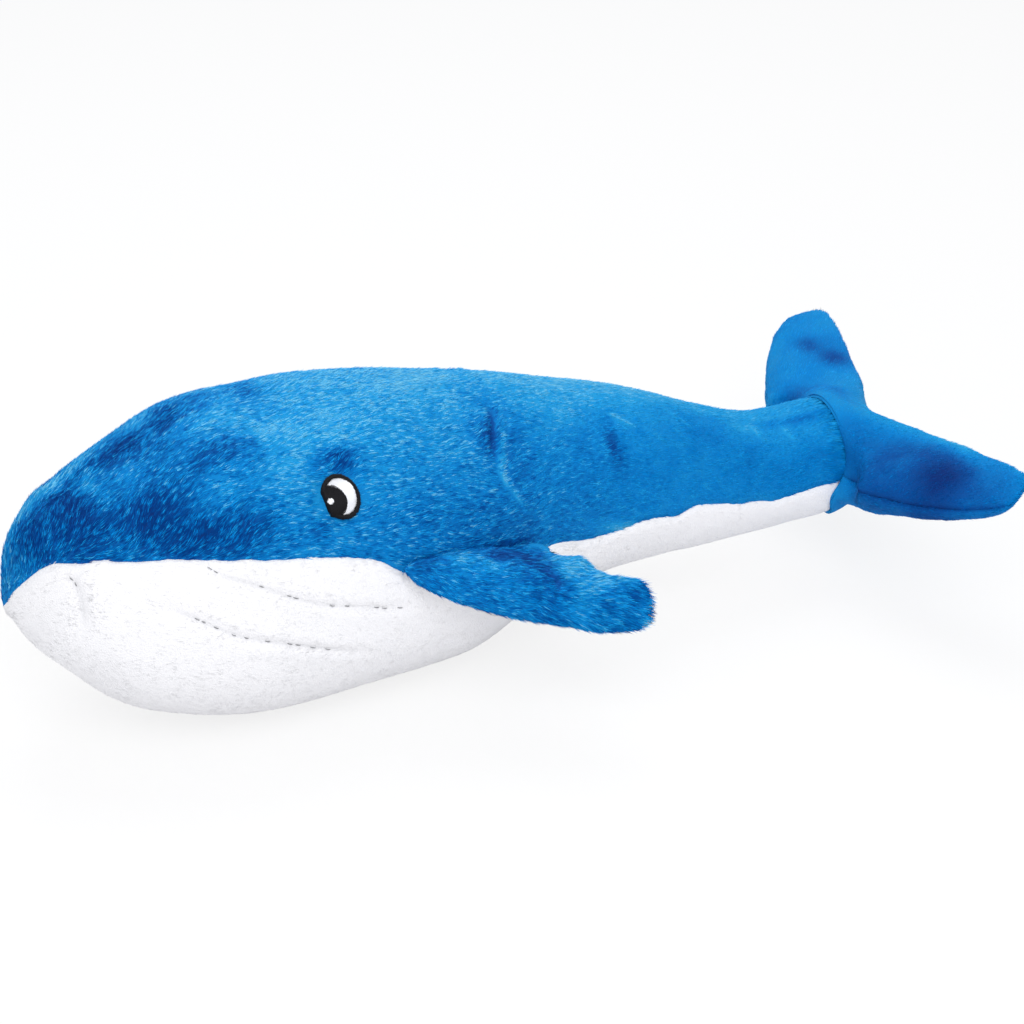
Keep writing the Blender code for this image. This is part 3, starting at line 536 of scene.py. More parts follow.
class Pile:
    """Brushed pile: closed three-sided fibres rooted on a skin, leaning the way they are combed, in tufts."""

    # How far tufts and single fibres stray sideways and upwards, in degrees, and how deep fibres are rooted
    TUFT_TURN, FIBRE_TURN, TUFT_RISE, FIBRE_RISE = 15, 7, 6, 4
    ROOT_DEPTH = 0.35

    def __init__(self, seed):
        self.random = np.random.default_rng(seed)
        self.tufts = Softness(seed + 1, 3)

    def roots(self, skin, density):
        """Evenly scattered roots on one skin, with what the skin says at each."""
        corner = skin.points
        diagonals = corner[1:, 1:] - corner[:-1, :-1], corner[1:, :-1] - corner[:-1, 1:]
        area = np.linalg.norm(np.cross(*diagonals), axis=-1) / 2
        weight = (area * (skin.cover[:-1, :-1] + skin.cover[1:, 1:]) / 2).ravel()
        count = int(weight.sum() * density * FEWER)
        pick = self.random.choice(len(weight), count, p=weight / weight.sum())
        row, column = np.unravel_index(pick, area.shape)
        down, beside = self.random.random((2, count, 1))

        def at(values):
            values = values.reshape(values.shape[:2] + (-1,))
            low = values[row, column] * (1 - beside) + values[row, column + 1] * beside
            high = values[row + 1, column] * (1 - beside) + values[row + 1, column + 1] * beside
            return low * (1 - down) + high * down

        fields = (skin.points, skin.out, skin.comb, skin.shade, skin.streaks, skin.length, skin.lean)
        return [at(values) for values in fields]

    def lay(self, name, skin, density, cloth, keep=None, tuft=1.3, wild=1.0, even=0.8):
        """One piece of a cloth's pile on a skin. Density is fibres for each square millimetre."""
        root, out, comb, shade, streaks, length, lean = self.roots(skin, density)
        out = unit(out)
        comb = unit(comb - out * (comb * out).sum(-1, keepdims=True))
        side = np.cross(out, comb)
        tuft_turn, tuft_lean, _ = np.split(self.tufts(root, tuft), 3, -1)
        locks = self.tufts(root * (0.55, 1.0, 1.0), 1.0)[..., 2:]
        chance = self.random.normal(size=(4,) + shade.shape)
        turn = np.radians(tuft_turn * self.TUFT_TURN + chance[0] * self.FIBRE_TURN) * wild
        stray = (tuft_lean * self.TUFT_RISE + chance[1] * self.FIBRE_RISE) * wild
        rise = np.radians(np.clip(lean + stray, 4, 80))
        way = (comb * np.cos(turn) + side * np.sin(turn)) * np.cos(rise) + out * np.sin(rise)
        reach = length * np.clip(1 + 0.18 * chance[2] + 0.10 * tuft_lean, 0.5, 1.4)
        across = unit(np.cross(out, way))
        up = np.cross(way, across)
        half = cloth.width * (0.75 + 0.5 * self.random.random(shade.shape)) / 2
        base = root - out * self.ROOT_DEPTH
        tip = base + way * reach
        tip[:, 2] = np.maximum(tip[:, 2], 0.4)
        corners = np.stack([base + across * half, base - across * half, base + up * half * 1.1, tip], 1)
        light = np.clip(chance[3] * 0.6 + locks * 1.9, -1.1, 2.2)
        tint = np.clip(shade + streaks * light, 0.03, 0.97)[:, 0]
        if keep is not None:
            kept = keep(root, tip)
            corners, tint = corners[kept], tint[kept]
            out, across, way = out[kept], across[kept], way[kept]
        made = self.fibres(name, corners, tint, out, across, way, even)
        made.data.materials.append(cloth.pile)
        return made

    def fibres(self, name, corners, tint, out, across, way, even):
        """Builds the fibres. Their sides face partly the way the skin under them does, fully if even is 1."""
        count = len(corners)
        first = np.arange(count)[:, None] * 4
        faces = np.concatenate([first + shape for shape in ([1, 0, 3], [0, 2, 3], [2, 1, 3], [0, 1, 2])])
        made = build_mesh(name, corners.reshape(-1, 3), [faces])
        lay_across = np.stack([tint - 0.012, tint + 0.012, tint, tint], 1).ravel()
        set_layout(made, lay_across, np.tile([0.02, 0.02, 0.06, 0.98], count))
        tilt = (1 - even) * 2.2
        ways = np.stack([out + across * tilt, out - across * tilt, out, out + way * 0.1], 1)
        made.data.normals_split_custom_set_from_vertices(unit(ways).reshape(-1, 3).tolist())
        return made


class Wire:
    """A socket of a node, so that sums on it read as sums and add their Math nodes."""

    def __init__(self, nodes, socket):
        self.nodes, self.socket = nodes, socket

    def sum_with(self, operation, first, second):
        return self.nodes.wire("ShaderNodeMath", {"operation": operation}, {0: first, 1: second})

    def __add__(self, other):
        return self.sum_with("ADD", self, other)

    def __mul__(self, other):
        return self.sum_with("MULTIPLY", self, other)

    def __sub__(self, other):
        return self.sum_with("SUBTRACT", self, other)

    def __rsub__(self, other):
        return self.sum_with("SUBTRACT", other, self)

    def __pow__(self, other):
        return self.sum_with("POWER", self, other)

    def __rpow__(self, other):
        return self.sum_with("POWER", other, self)

    __radd__, __rmul__ = __add__, __mul__


class Nodes:
    """The nodes of the surroundings or of a finish."""

    def __init__(self, tree):
        self.tree = tree

    def node(self, kind, settings=None, sockets=None):
        """Adds a node: its settings first, then the values or links of its sockets."""
        made = self.tree.nodes.new(kind)
        for key, value in (settings or {}).items():
            if key == "stops":
                self.set_stops(made.color_ramp, value)
            else:
                setattr(made, key, value)
        self.fill(made, sockets or {})
        return made

    def fill(self, made, sockets):
        """Sets the values or links of a node's sockets."""
        for key, value in sockets.items():
            socket = made.inputs[key]
            if isinstance(value, Wire):
                self.tree.links.new(value.socket, socket)
            else:
                socket.default_value = value

    def set_stops(self, ramp, stops):
        while len(ramp.elements) < len(stops):
            ramp.elements.new(0.5)
        for element, (place, colour) in zip(ramp.elements, stops):
            element.position = place
            element.color = (*colour, 1)

    def wire(self, kind, settings=None, sockets=None, output=0):
        return Wire(self, self.node(kind, settings, sockets).outputs[output])

    def seen_directly(self):
        """Factor that is one for camera, glossy and transmission rays."""
        path = self.node("ShaderNodeLightPath")
        rays = [Wire(self, path.outputs["Is %s Ray" % kind]) for kind in ("Camera", "Glossy", "Transmission")]
        seen = self.wire("ShaderNodeMath", {"operation": "MAXIMUM"}, {0: rays[0], 1: rays[1]})
        return self.wire("ShaderNodeMath", {"operation": "MAXIMUM"}, {0: seen, 1: rays[2]})


class Finish(Nodes):
    """A procedural material around one Principled surface."""

    def __init__(self, name, **constants):
        self.material = bpy.data.materials.new(name)
        self.material.use_nodes = True
        super().__init__(self.material.node_tree)
        self.surface = self.tree.nodes["Principled BSDF"]
        self.fill(self.surface, {socket.replace("_", " "): value for socket, value in constants.items()})

    def mix(self, factor, first, second, blend="MIX"):
        """Mix of two colours, each a tuple or a wire."""
        colours = [value if isinstance(value, Wire) else (*value, 1) for value in (first, second)]
        settings = {"data_type": "RGBA", "blend_type": blend}
        return self.wire("ShaderNodeMix", settings, {0: factor, 6: colours[0], 7: colours[1]}, 2)

    def noise(self, scale, detail=2.0, roughness=0.5, place=None):
        sockets = {"Scale": scale, "Detail": detail, "Roughness": roughness}
        sockets["Vector"] = place or self.place()
        return self.wire("ShaderNodeTexNoise", None, sockets)

    def place(self):
        return self.wire("ShaderNodeTexCoord", None, None, "Object")

    def feed(self, socket, value):
        self.fill(self.surface, {socket: value})

    def bump(self, height, strength, distance):
        sockets = {"Height": height, "Strength": strength, "Distance": distance}
        self.feed("Normal", self.wire("ShaderNodeBump", None, sockets))


Cloth = collections.namedtuple("Cloth", "ground pile slot width")


def pile_finish(name, stops, root_painted_shade, gloss):
    """Fibres: the layout's across says which shade of the dye, and its along runs from root to tip, darkened
    towards the root by painted shade.
    """
    finish = Finish(name, Roughness=0.6, Sheen_Weight=0.03, Sheen_Roughness=0.4, Sheen_Tint=gloss,
                    Specular_IOR_Level=0.22, Specular_Tint=gloss)
    layout = finish.wire("ShaderNodeUVMap", {"uv_map": "OFBake"})
    parts = finish.node("ShaderNodeSeparateXYZ", None, {0: layout})
    dye = finish.wire("ShaderNodeValToRGB", {"stops": stops}, {0: Wire(finish, parts.outputs[0])})
    along = Wire(finish, parts.outputs[1])
    # roots darkened: painted shade deep in the pile
    root = finish.mix(1.0, dye, (root_painted_shade,) * 3, "MULTIPLY")
    finish.feed("Base Color", finish.mix(along ** 0.6, root, dye))
    return finish.material


def backing_finish(name, stops, depth):
    """The ground of the plush between its fibres: a close knit in the tone of the pile over it, darkened by
    depth as painted shade under the pile.
    """
    finish = Finish(name, Roughness=0.85, Specular_IOR_Level=0.1)
    shade = finish.wire("ShaderNodeAttribute", {"attribute_name": "shade"}, None, "Fac")
    fine = finish.noise(900.0, 2.0)
    dye = finish.wire("ShaderNodeValToRGB", {"stops": stops}, {0: shade + fine * 0.1 - 0.05})
    # multiplied by depth: painted shade under the pile
    finish.feed("Base Color", finish.mix(1.0, dye, (depth,) * 3, "MULTIPLY"))
    finish.feed("Roughness", fine * 0.2 + 0.72)
    knit = finish.wire("ShaderNodeTexVoronoi", None, {"Vector": finish.place(), "Scale": 1300.0})
    finish.bump(knit + fine * 0.5, 0.5, 0.0004)
    return finish.material


def thread_finish(name, deep, light, roughness=0.42):
    """Embroidery thread: a low twisted sheen along each stitch."""
    finish = Finish(name, Roughness=roughness, Specular_IOR_Level=0.15)
    twist = finish.noise(1800.0, 2.0)
    finish.feed("Base Color", finish.mix(twist, deep, light))
    finish.feed("Roughness", twist * 0.2 + (roughness - 0.1))
    finish.bump(twist, 0.3, 0.0001)
    return finish.material


BLUE_PILE_STOPS = (
    (0.0, (0.0008, 0.034, 0.22)), (0.25, (0.0009, 0.103, 0.43)), (0.5, (0.0010, 0.278, 0.78)),
    (0.75, (0.018, 0.430, 0.90)), (1.0, (0.22, 0.68, 0.97)),
)
WHITE_PILE_STOPS = ((0.0, (0.60, 0.60, 0.62)), (0.5, (0.87, 0.860, 0.872)), (1.0, (0.92, 0.910, 0.922)))
BLUE_GLOSS, WHITE_GLOSS = (0.05, 0.50, 1.0, 1.0), (1.0, 1.0, 1.0, 1.0)

body = Body()


def brushed_and_painted_light(flat):
    """How much lighter the pile looks where it is brushed out of its lie and where sheen and shade are
    painted on it, and how far it turns.
    """
    lighter = 0
    for distance, angle, half_long, half_wide, light in BRUSHED_AND_PAINTED_LIGHT:
        away = (flat - body.mark(distance, angle)) / (half_long, half_wide)
        lighter = lighter + light * np.exp(-(away ** 2).sum(-1))
    return lighter, np.clip(-lighter * 110, 0, 50)


def body_skin(columns, low, high):
    """Skin grid between two angles, given as functions of the run, in rows along the body."""
    run = np.linspace(0, body.length, int(body.length / SKIN_STEP))
    run, share = np.meshgrid(run, np.linspace(0, 1, columns), indexing="ij")
    angle = low(run) * (1 - share) + high(run) * share
    points = body.skin(run, angle)
    out = body.way_out(run, angle, body.skin)
    ahead = body.plain(np.minimum(run + 1, body.length), angle)
    along = unit(ahead - body.plain(np.maximum(run - 1, 0), angle))
    flat = body.flat_place(run, angle)
    return angle, points, out, along, flat


def combed(along, out, turn):
    """The way along the body, turned by an angle on its skin."""
    return along * np.cos(turn)[..., None] + np.cross(out, along) * np.sin(turn)[..., None]


def side_panel(side):
    """One blue side: from the back seam down to the white, its pile combed towards the tail."""
    angle, points, out, along, flat = body_skin(
        SIDE_COLUMNS, lambda run: 0 * run, lambda run: side * body.seam(run, side))
    # darker and lighter places: brushed pile, with a painted sheen on the back and painted shade in the fold
    # over the flipper; the darker places also turn the pile
    lighter, turned = brushed_and_painted_light(flat)
    mottle = body.dark(points, 17.0)[..., 0] * 0.04 + body.dark(points + 300, 6.0)[..., 0] * 0.07
    x = body.read(body.run_at(flat[..., 0]))[0]
    head, rear = np.clip(1 - x / 130, 0, 1), np.clip((x - 210) / 120, 0, 1)
    at_flukes = bell(x - COLLAR_LINE + 0.6, 7)
    swirl = np.radians(turned * side + body.lumps(points + 500, 14.0)[..., 0] * 18 - side * 6)
    fields = {
        # painted shade in the creases and painted highlight on their ridges
        "shade": 0.50 + 0.04 * rear + lighter + body.crease_shade_and_highlight(flat, points) + mottle * (0.7 + 0.6 * head),
        "streaks": 0.24 * (1 - rear) + 0.08 * rear,
        "length": 3.3 - 0.4 * rear + 3.2 * at_flukes,
        "lean": 11 + turned * 0.3 + 8 * at_flukes,
        "cover": body.before_collar(x, angle),
    }
    return Skin(points, out, combed(along, out, swirl), **fields)


def belly_panel():
    """The white underside, from one side seam under the belly to the other."""
    angle, points, out, along, flat = body_skin(
        BELLY_COLUMNS, lambda run: body.seam(run, 1), lambda run: 2 * math.pi - body.seam(run, -1))
    folded = np.where(angle > math.pi, angle - 2 * math.pi, angle)
    x, radius, _, _ = body.read(body.run_at(flat[..., 0]))
    flat = np.stack([flat[..., 0], radius * folded], -1)
    swirl = np.radians(body.lumps(points + 500, 12.0)[..., 0] * 26)
    groove = 0
    for side, marks in GROOVE_LINES:
        near, fade = line_distance(flat, body.line(marks, side))
        groove = np.maximum(groove, fade * bell(near, 1.3))
    sides = np.where(folded > 0, body.seam(body.run_at(x), 1), body.seam(body.run_at(x), -1))
    near_seam = np.abs(radius * (np.abs(folded) - sides))
    cover = 0.6 + 0.4 * bell(near_seam, 9)
    rear = np.clip((x - 300) / 100, 0, 1)
    fields = {
        # darker along the throat grooves: painted shade in their valleys
        "shade": 0.70 + body.dark(points, 15.0)[..., 0] * 0.03 - 0.42 * groove + 0.06 * rear,
        "streaks": 0.03,
        "length": 2.7 - 1.1 * groove - 0.4 * rear,
        "lean": 8 + 8 * groove,
        "cover": cover * np.where(points[..., 2] < 1.2, 0.25, 1.0) * body.before_collar(x, angle),
    }
    return Skin(points, out, combed(along, out, swirl), **fields)


def clear_of_eyes(root, tip):
    """Fibres that don't stand in, or hang over, an embroidered eye."""
    kept = np.ones(len(root), bool)
    for side in (1, -1):
        eye = EyePlace(side)
        for points, margin in ((root, 0.1), (tip, -0.9), ((root + tip) / 2, -0.5)):
            forward, rise, height = eye.local(points)
            inside = (forward / (EYE_HALF_WIDTH + margin)) ** 2 + (rise / (EYE_HALF_HEIGHT + margin)) ** 2 < 1
            inside = inside & (forward < EYE_FLAT + margin) & (np.abs(height) < 12)
            kept &= ~inside
    return kept


class EyePlace:
    """Where one eye is sewn: maps its own forward, rise and height onto the cheek."""

    def __init__(self, side):
        self.side = side
        self.radius = float(body.read(body.run_at(EYE_DISTANCE))[1])
        self.centre = self.on_cheek(np.zeros((1, 2)), 0.0)[0]
        step = self.on_cheek(np.array([[1.0, 0.0], [0.0, 1.0]]), 0.0) - self.centre
        self.forward, self.rise = unit(step[0]), unit(step[1])
        self.out = unit(np.cross(self.rise, self.forward)) * side
        if (self.out[1] < 0) != (side > 0):
            self.out = -self.out

    def on_cheek(self, places, height):
        """Row-frame points for places (forward, rise) on the eye, at a height above the plush."""
        forward = places[:, 0] * math.cos(EYE_SLANT) - places[:, 1] * math.sin(EYE_SLANT)
        rise = places[:, 0] * math.sin(EYE_SLANT) + places[:, 1] * math.cos(EYE_SLANT)
        run = body.run_at(EYE_DISTANCE - forward)
        angle = (math.radians(EYE_ANGLE) - rise / self.radius) * self.side
        out = body.way_out(run, angle, body.plain)
        return body.plain(run, angle) + out * np.asarray(height).reshape(-1, 1)

    def local(self, points):
        """Forward, rise and height of row-frame points, on the flat through the eye's middle."""
        away = points - self.centre
        return away @ self.forward, away @ self.rise, away @ self.out


def thread_lines(name, lines, radius, finish, sides=6):
    """Stitches: each line of points as a plump closed thread, tapered to its two ends."""
    lines = np.asarray(lines)
    count, steps = lines.shape[:2]
    along = unit(np.gradient(lines, axis=1))
    side = unit(np.cross(along, lines * 0 + unit(np.array([0.31, 0.22, 0.92]))))
    up = np.cross(side, along)
    turn = np.linspace(0, 2 * math.pi, sides, endpoint=False)
    plump = np.sin(np.linspace(0.25, math.pi - 0.25, steps)) ** 0.5 * np.reshape(radius, (-1, 1))
    ring = side[:, :, None] * np.cos(turn)[:, None] + up[:, :, None] * np.sin(turn)[:, None]
    rings = lines[:, :, None] + ring * np.broadcast_to(plump, (count, steps))[:, :, None, None]
    points = np.concatenate([rings.reshape(count, -1, 3), lines[:, :1] - along[:, :1] * 0.15,
                             lines[:, -1:] + along[:, -1:] * 0.15], 1)
    grid = np.arange(steps * sides).reshape(steps, sides)
    beside = np.roll(grid, -1, 1)
    tube = np.stack([grid[:-1], beside[:-1], beside[1:], grid[1:]], -1).reshape(-1, 4)
    caps = np.concatenate([np.stack([beside[0], grid[0], np.full(sides, steps * sides)], -1),
                           np.stack([grid[-1], beside[-1], np.full(sides, steps * sides + 1)], -1)])
    offset = (np.arange(count) * (steps * sides + 2))[:, None, None]
    faces = [(tube + offset).reshape(-1, 4), (caps + offset).reshape(-1, 3)]
    made = build_mesh(name, points.reshape(-1, 3), faces)
    made.data.materials.append(finish)
    return made


def oval(turn, half_wide, half_tall, flat, centre=(0.0, 0.0)):
    """Places round an oval whose front is cut off straight, by angle."""
    forward, rise = half_wide * np.cos(turn), half_tall * np.sin(turn)
    over = np.maximum(forward / flat, 1) if flat else 1
    return np.stack([centre[0] + forward / over, centre[1] + rise / over], -1)


def stitched_pad(name, place, outline, height, crown, finish, lines, radius):
    """Low padded patch under satin stitches that run from edge to edge, as one piece."""
    rings = np.linspace(0, 1, 9)[1:]
    middle = outline.mean(0)
    pad_places = [middle + (outline - middle) * share for share in rings]
    heights = [height + crown * (1 - share ** 3) for share in rings]
    count = len(outline)
    points = [place.on_cheek(middle[None], height + crown)]
    for places, level in zip(pad_places, heights):
        points.append(place.on_cheek(places, level))
    points.append(place.on_cheek(outline, -PAD_DEPTH))
    points.append(place.on_cheek(middle[None], -PAD_DEPTH))
    points = np.concatenate(points)
    index = np.arange(count * (len(rings) + 1)).reshape(-1, count) + 1
    beside = np.roll(index, -1, 1)
    walls = np.stack([index[:-1], index[1:], beside[1:], beside[:-1]], -1).reshape(-1, 4)
    fan = np.stack([np.zeros(count, int), index[0], beside[0]], -1)
    base = np.stack([index[-1], np.full(count, len(points) - 1), beside[-1]], -1)
    pad = build_mesh(name, points, [walls, fan, base])
    pad.data.materials.append(finish)
    clean(pad)
    threads = thread_lines(name + "_stitches", lines, radius, finish)
    join(pad, threads)
    return pad


def join(kept, other):
    with bpy.context.temp_override(active_object=kept, selected_editable_objects=[kept, other]):
        bpy.ops.object.join()


def satin(place, ends_low, ends_high, height, crown, steps=7):
    """Threads laid from one edge to the other, arching over the padding."""
    share = np.linspace(0, 1, steps)
    lines, random = [], np.random.default_rng(len(ends_low))
    for low, high in zip(ends_low, ends_high):
        over = (high - low) / max(np.linalg.norm(high - low), 0.1) * random.random((2, 1)) * 0.4
        places = low - over[0] + (high - low + over[0] + over[1]) * share[:, None]
        lines.append(place.on_cheek(places, height + crown * (1 - (2 * share - 1) ** 4) - 0.15))
    return lines


def chords(outline, spacing, lean=0.0):
    """Ends of the parallel threads that fill an outline, spaced across it and leaning a little."""
    way = np.array([math.sin(lean), math.cos(lean)])
    across = np.array([way[1], -way[0]])
    place = outline @ across
    lows, highs = [], []
    for at in np.arange(place.min() + spacing / 2, place.max(), spacing):
        crossing = []
        for start, end in zip(outline, np.roll(outline, -1, 0)):
            a, b = start @ across - at, end @ across - at
            if a * b < 0:
                crossing.append(start + (end - start) * (a / (a - b)))
        if len(crossing) == 2:
            crossing.sort(key=lambda point: point @ way)
            lows.append(crossing[0])
            highs.append(crossing[1])
    return np.array(lows), np.array(highs)


def embroider_eye(side, black, white):
    """Black outline, white of the eye, black pupil and a small white glint, in satin stitch."""
    label = ("left" if side > 0 else "right") + "_eye_"
    place = EyePlace(side)
    turn = np.linspace(0, 2 * math.pi, 160, endpoint=False)
    outer = oval(turn, EYE_HALF_WIDTH, EYE_HALF_HEIGHT, EYE_FLAT)
    inner = oval(turn, EYE_HALF_WIDTH - OUTLINE_WIDTH, EYE_HALF_HEIGHT - OUTLINE_WIDTH,
                 EYE_FLAT - OUTLINE_FRONT_WIDTH)
    ring = thread_lines(label + "outline", satin(place, inner, outer, 1.25, 0.35, 5), 0.24, black)
    pad = stitched_pad(label + "outline_pad", place, outer[::2], 0.9, 0.25, black, satin(
        place, inner[:2], outer[:2], 1.25, 0.4, 5), 0.2)
    join(ring, pad)
    pieces = [("outline", ring)]
    for node, size, centre, spacing, padding, stitch, radius, skip in EYE_PATCHES:
        outline = oval(turn, *size, centre)
        lines = satin(place, *chords(outline, *spacing), *stitch)
        thread = black if node == "pupil" else white
        made = stitched_pad(label + node, place, outline[::skip], *padding, thread, lines, radius)
        pieces.append((node, made))
    for node, piece in pieces:
        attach(piece, "body")
        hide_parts(label + node)


def groove_stitches(finish):
    """Grey thread of the throat grooves: a running stitch that shows in places between the fibres."""
    lines, random = [], np.random.default_rng(21)
    for side, marks in GROOVE_LINES:
        flat = body.line(marks, side, 400)
        run = np.concatenate([[0], np.cumsum(np.linalg.norm(np.diff(flat, axis=0), axis=1))])
        start = 1.0
        while start + 3.0 < run[-1]:
            length = 2.2 + random.random() * 0.8
            at = np.linspace(start, start + length, 7)
            distance, down = (np.interp(at, run, flat[:, axis]) for axis in range(2))
            place = body.run_at(distance)
            angle = down / body.read(place)[1]
            shown = random.random()
            height = 0.7 if shown > 0.88 else 0.05 if shown > 0.6 else -0.9
            arch = np.sin(np.linspace(0, math.pi, 7)) * 0.4 + height
            lines.append(body.skin(place, angle) + body.way_out(place, angle, body.skin) * arch[:, None])
            start += length + 0.9 + random.random() * 0.8
    return thread_lines("throat_groove_stitches", lines, 0.22, finish)


def section_ring(lead, trail, thickness, up, top_share):
    """Leading edge, two points over the top, trailing edge and two points underneath."""
    chord = trail - lead
    top, under = [], []
    for place, full in SECTION_POINTS:
        height = thickness * full
        top.append(lead + chord * place + up * (height * top_share))
        under.insert(0, lead + chord * place - up * (height * (1 - top_share)))
    return [lead, *top, trail, *under]


def closed_limb(start, rings, end, rows, columns):
    """Smooth closed grid through the rings, rounded over a point at each end."""
    rings = np.array(rings)
    count, around = rings.shape[:2]
    half = around // 2
    fine = np.linspace(0, count + 1, rows)
    sides = [None] * around
    for side in range(half):
        loop = np.concatenate([[start], rings[:, side], [end], rings[::-1, side + half]])
        sides[side] = closed_curve(loop, fine)
        sides[side + half] = closed_curve(loop, 2 * count + 2 - fine)
    turns = np.linspace(0, around, columns, endpoint=False)
    grid = closed_curve(np.stack(sides), turns)
    return np.moveaxis(grid, 0, 1)


def grid_normals(grid):
    """Unit normals of a grid that closes on itself across its columns."""
    along = np.gradient(grid, axis=0)
    around = np.roll(grid, -1, 1) - np.roll(grid, 1, 1)
    out = unit(np.cross(along, around))
    out[0], out[-1] = unit(out[1].mean(0)), unit(out[-2].mean(0))
    outward = ((grid - grid.mean((0, 1))) * out).sum() > 0
    return out if outward else -out


def row(values):
    return np.array(values, float)


def hinge(name):
    """Place in millimetres and axis of a joint."""
    joint = next(joint for joint in frame["joints"] if joint["name"] == name)
    return row(joint["pos_m"]) / MM, unit(row(joint["axis"]))


def flipper_place(side):
    """Middle of the root seam, the ways back along it, outwards and up, and half the length of the seam."""
    middle, axis = hinge(("left" if side > 0 else "right") + "_flipper_flap")
    outward, ends = 0, []
    for distance, degrees in FLIPPER_ROOT:
        angle = math.radians(degrees)
        heading = BEND_ANGLE * min(max((distance - BEND_START) / BEND_LENGTH, 0), 1)
        across = -side * math.sin(angle)
        outward = outward + row([math.sin(heading) * across, math.cos(heading) * across, math.cos(angle)])
        ends.append(body.plain(body.run_at(distance), side * angle))
    outward = unit(outward - axis * (outward @ axis))
    up = np.cross(axis, outward)
    up = up if up[2] > 0 else -up
    return middle, axis, outward, up, np.linalg.norm(ends[1] - ends[0]) / 2


def limb_halves(grid, out, comb, edge_depth, lead, trail, **fields):
    """Top and under skins of a limb, with its edge seam drawn in. On each row the leading seam lies lead
    columns behind the edge, on the top, or underneath when negative, and the trailing seam trail columns
    underneath."""
    rows, columns = grid.shape[:2]
    half = columns // 2
    lead, trail = (np.reshape(seam + np.zeros(rows), (-1, 1)) for seam in (lead, half + trail))
    turn = np.arange(columns)
    ahead = np.abs((turn - lead + half) % columns - half)
    edge = np.minimum(ahead, np.abs(turn - trail))
    step = np.linalg.norm(np.roll(grid, -1, 1) - grid, axis=-1).mean(1, keepdims=True)
    drawn = bell(edge * step, 1.8) * edge_depth
    grid = grid - out * drawn[..., None]
    # darker along the drawn-in edge seam: painted shade
    fields["shade"] = fields["shade"] - 0.12 * drawn
    halves = []
    for low, high in ((lead, trail), (trail, lead + columns)):
        turns = low + (high - low) * np.linspace(0, 1, half + 1)
        first, share = np.floor(turns).astype(int), turns % 1
        across = np.arange(rows)[:, None]

        def pick(values):
            part = share if values.ndim == 2 else share[..., None]
            return values[across, first % columns] * (1 - part) + values[across, (first + 1) % columns] * part

        parts = {name: pick(np.broadcast_to(value, (rows, columns))) for name, value in fields.items()}
        halves.append(Skin(pick(grid), unit(pick(out)), pick(comb), **parts))
    return halves


def limb_brushing_and_painted_light(places, across, behind):
    """How much lighter a limb's pile is in its brushed places, darkened by painted shade and lit by a painted
    highlight in some of them, and how far its skin stands out there.
    """
    lighter, out = 0, 0
    for first, second, half_first, half_second, light, *height in places:
        here = bell(across - first, half_first) * bell(behind - second, half_second)
        lighter, out = lighter + light * here, out + sum(height) * here
    return lighter, out


def uneven(grid, wide, fine):
    """A limb's grid with the slight lumps of its filling, broad and small, and its new normals."""
    lumps = body.lumps(grid, wide) * 0.9 + body.lumps(grid + 90, fine) * 0.35
    grid = grid + grid_normals(grid) * lumps
    return grid, grid_normals(grid)


def flipper_skins(side):
    middle, axis, outward, up, half_root = flipper_place(side)

    def place(reach, along, height):
        root = middle + axis * (along * half_root)
        return root + outward * (reach * FLIPPER_REACH) + up * (height * FLIPPER_DROP)

    rings = []
    for reach, lead_along, trail_along, lead_height, trail_height, full in FLIPPER_SECTIONS:
        lead, trail = place(reach, lead_along, lead_height), place(reach, trail_along, trail_height)
        chord = unit(trail - lead)
        section_up = unit(up - chord * (up @ chord))
        thickness = max(full * FLIPPER_THICKNESS, FLIPPER_ROOT_THICKNESS)
        rings.append(section_ring(lead, trail, thickness, section_up, FLIPPER_TOP_SHARE))
    root = middle - outward * FLIPPER_ROOT_THICKNESS / 2
    grid = closed_limb(root, rings, place(*FLIPPER_TIP), *FLIPPER_GRID)
    grid, out = uneven(grid, 13.0, 6.0)
    reach, behind = ((grid - middle) @ outward) / FLIPPER_REACH, ((grid - middle) @ axis) / half_root
    # painted shade in the flipper's folds and a painted highlight on its hump
    lighter, height = limb_brushing_and_painted_light(FLIPPER_BRUSHED_AND_PAINTED_LIGHT, reach, behind)
    grid = grid + out * (height * np.clip((out @ up) * 2, 0, 1))[..., None]
    out = grid_normals(grid)
    tail_way = unit(place(1.0, 1.26, -0.9) - place(0.0, 0.0, 0.0))
    comb = unit(tail_way + axis * 0.25 + body.lumps(grid + 40, 9.0) * np.cross(out, tail_way) * 0.4)
    fields = {
        "shade": 0.455 + lighter + 0.05 * body.dark(grid, 11.0)[..., 0],
        "streaks": 0.20,
        "length": np.clip(3.4 + 1.2 * reach, 3.0, 4.4),
        "lean": 13.0,
        "cover": np.where(reach > -0.03, 1.0, 0.0),
    }
    at_root = bell(reach.mean(1), 0.16)
    skins = limb_halves(grid, out, comb, 0.9, -5, 5 + 13 * at_root, **fields)
    under = skins[1]
    under.shade, under.streaks = under.shade * 0 + 0.72, under.streaks * 0 + 0.05
    reach = ((under.points - middle) @ outward) / FLIPPER_REACH
    under.cover = under.cover * np.clip((reach - 0.14) * 12, 0, 1)
    return skins, middle, outward


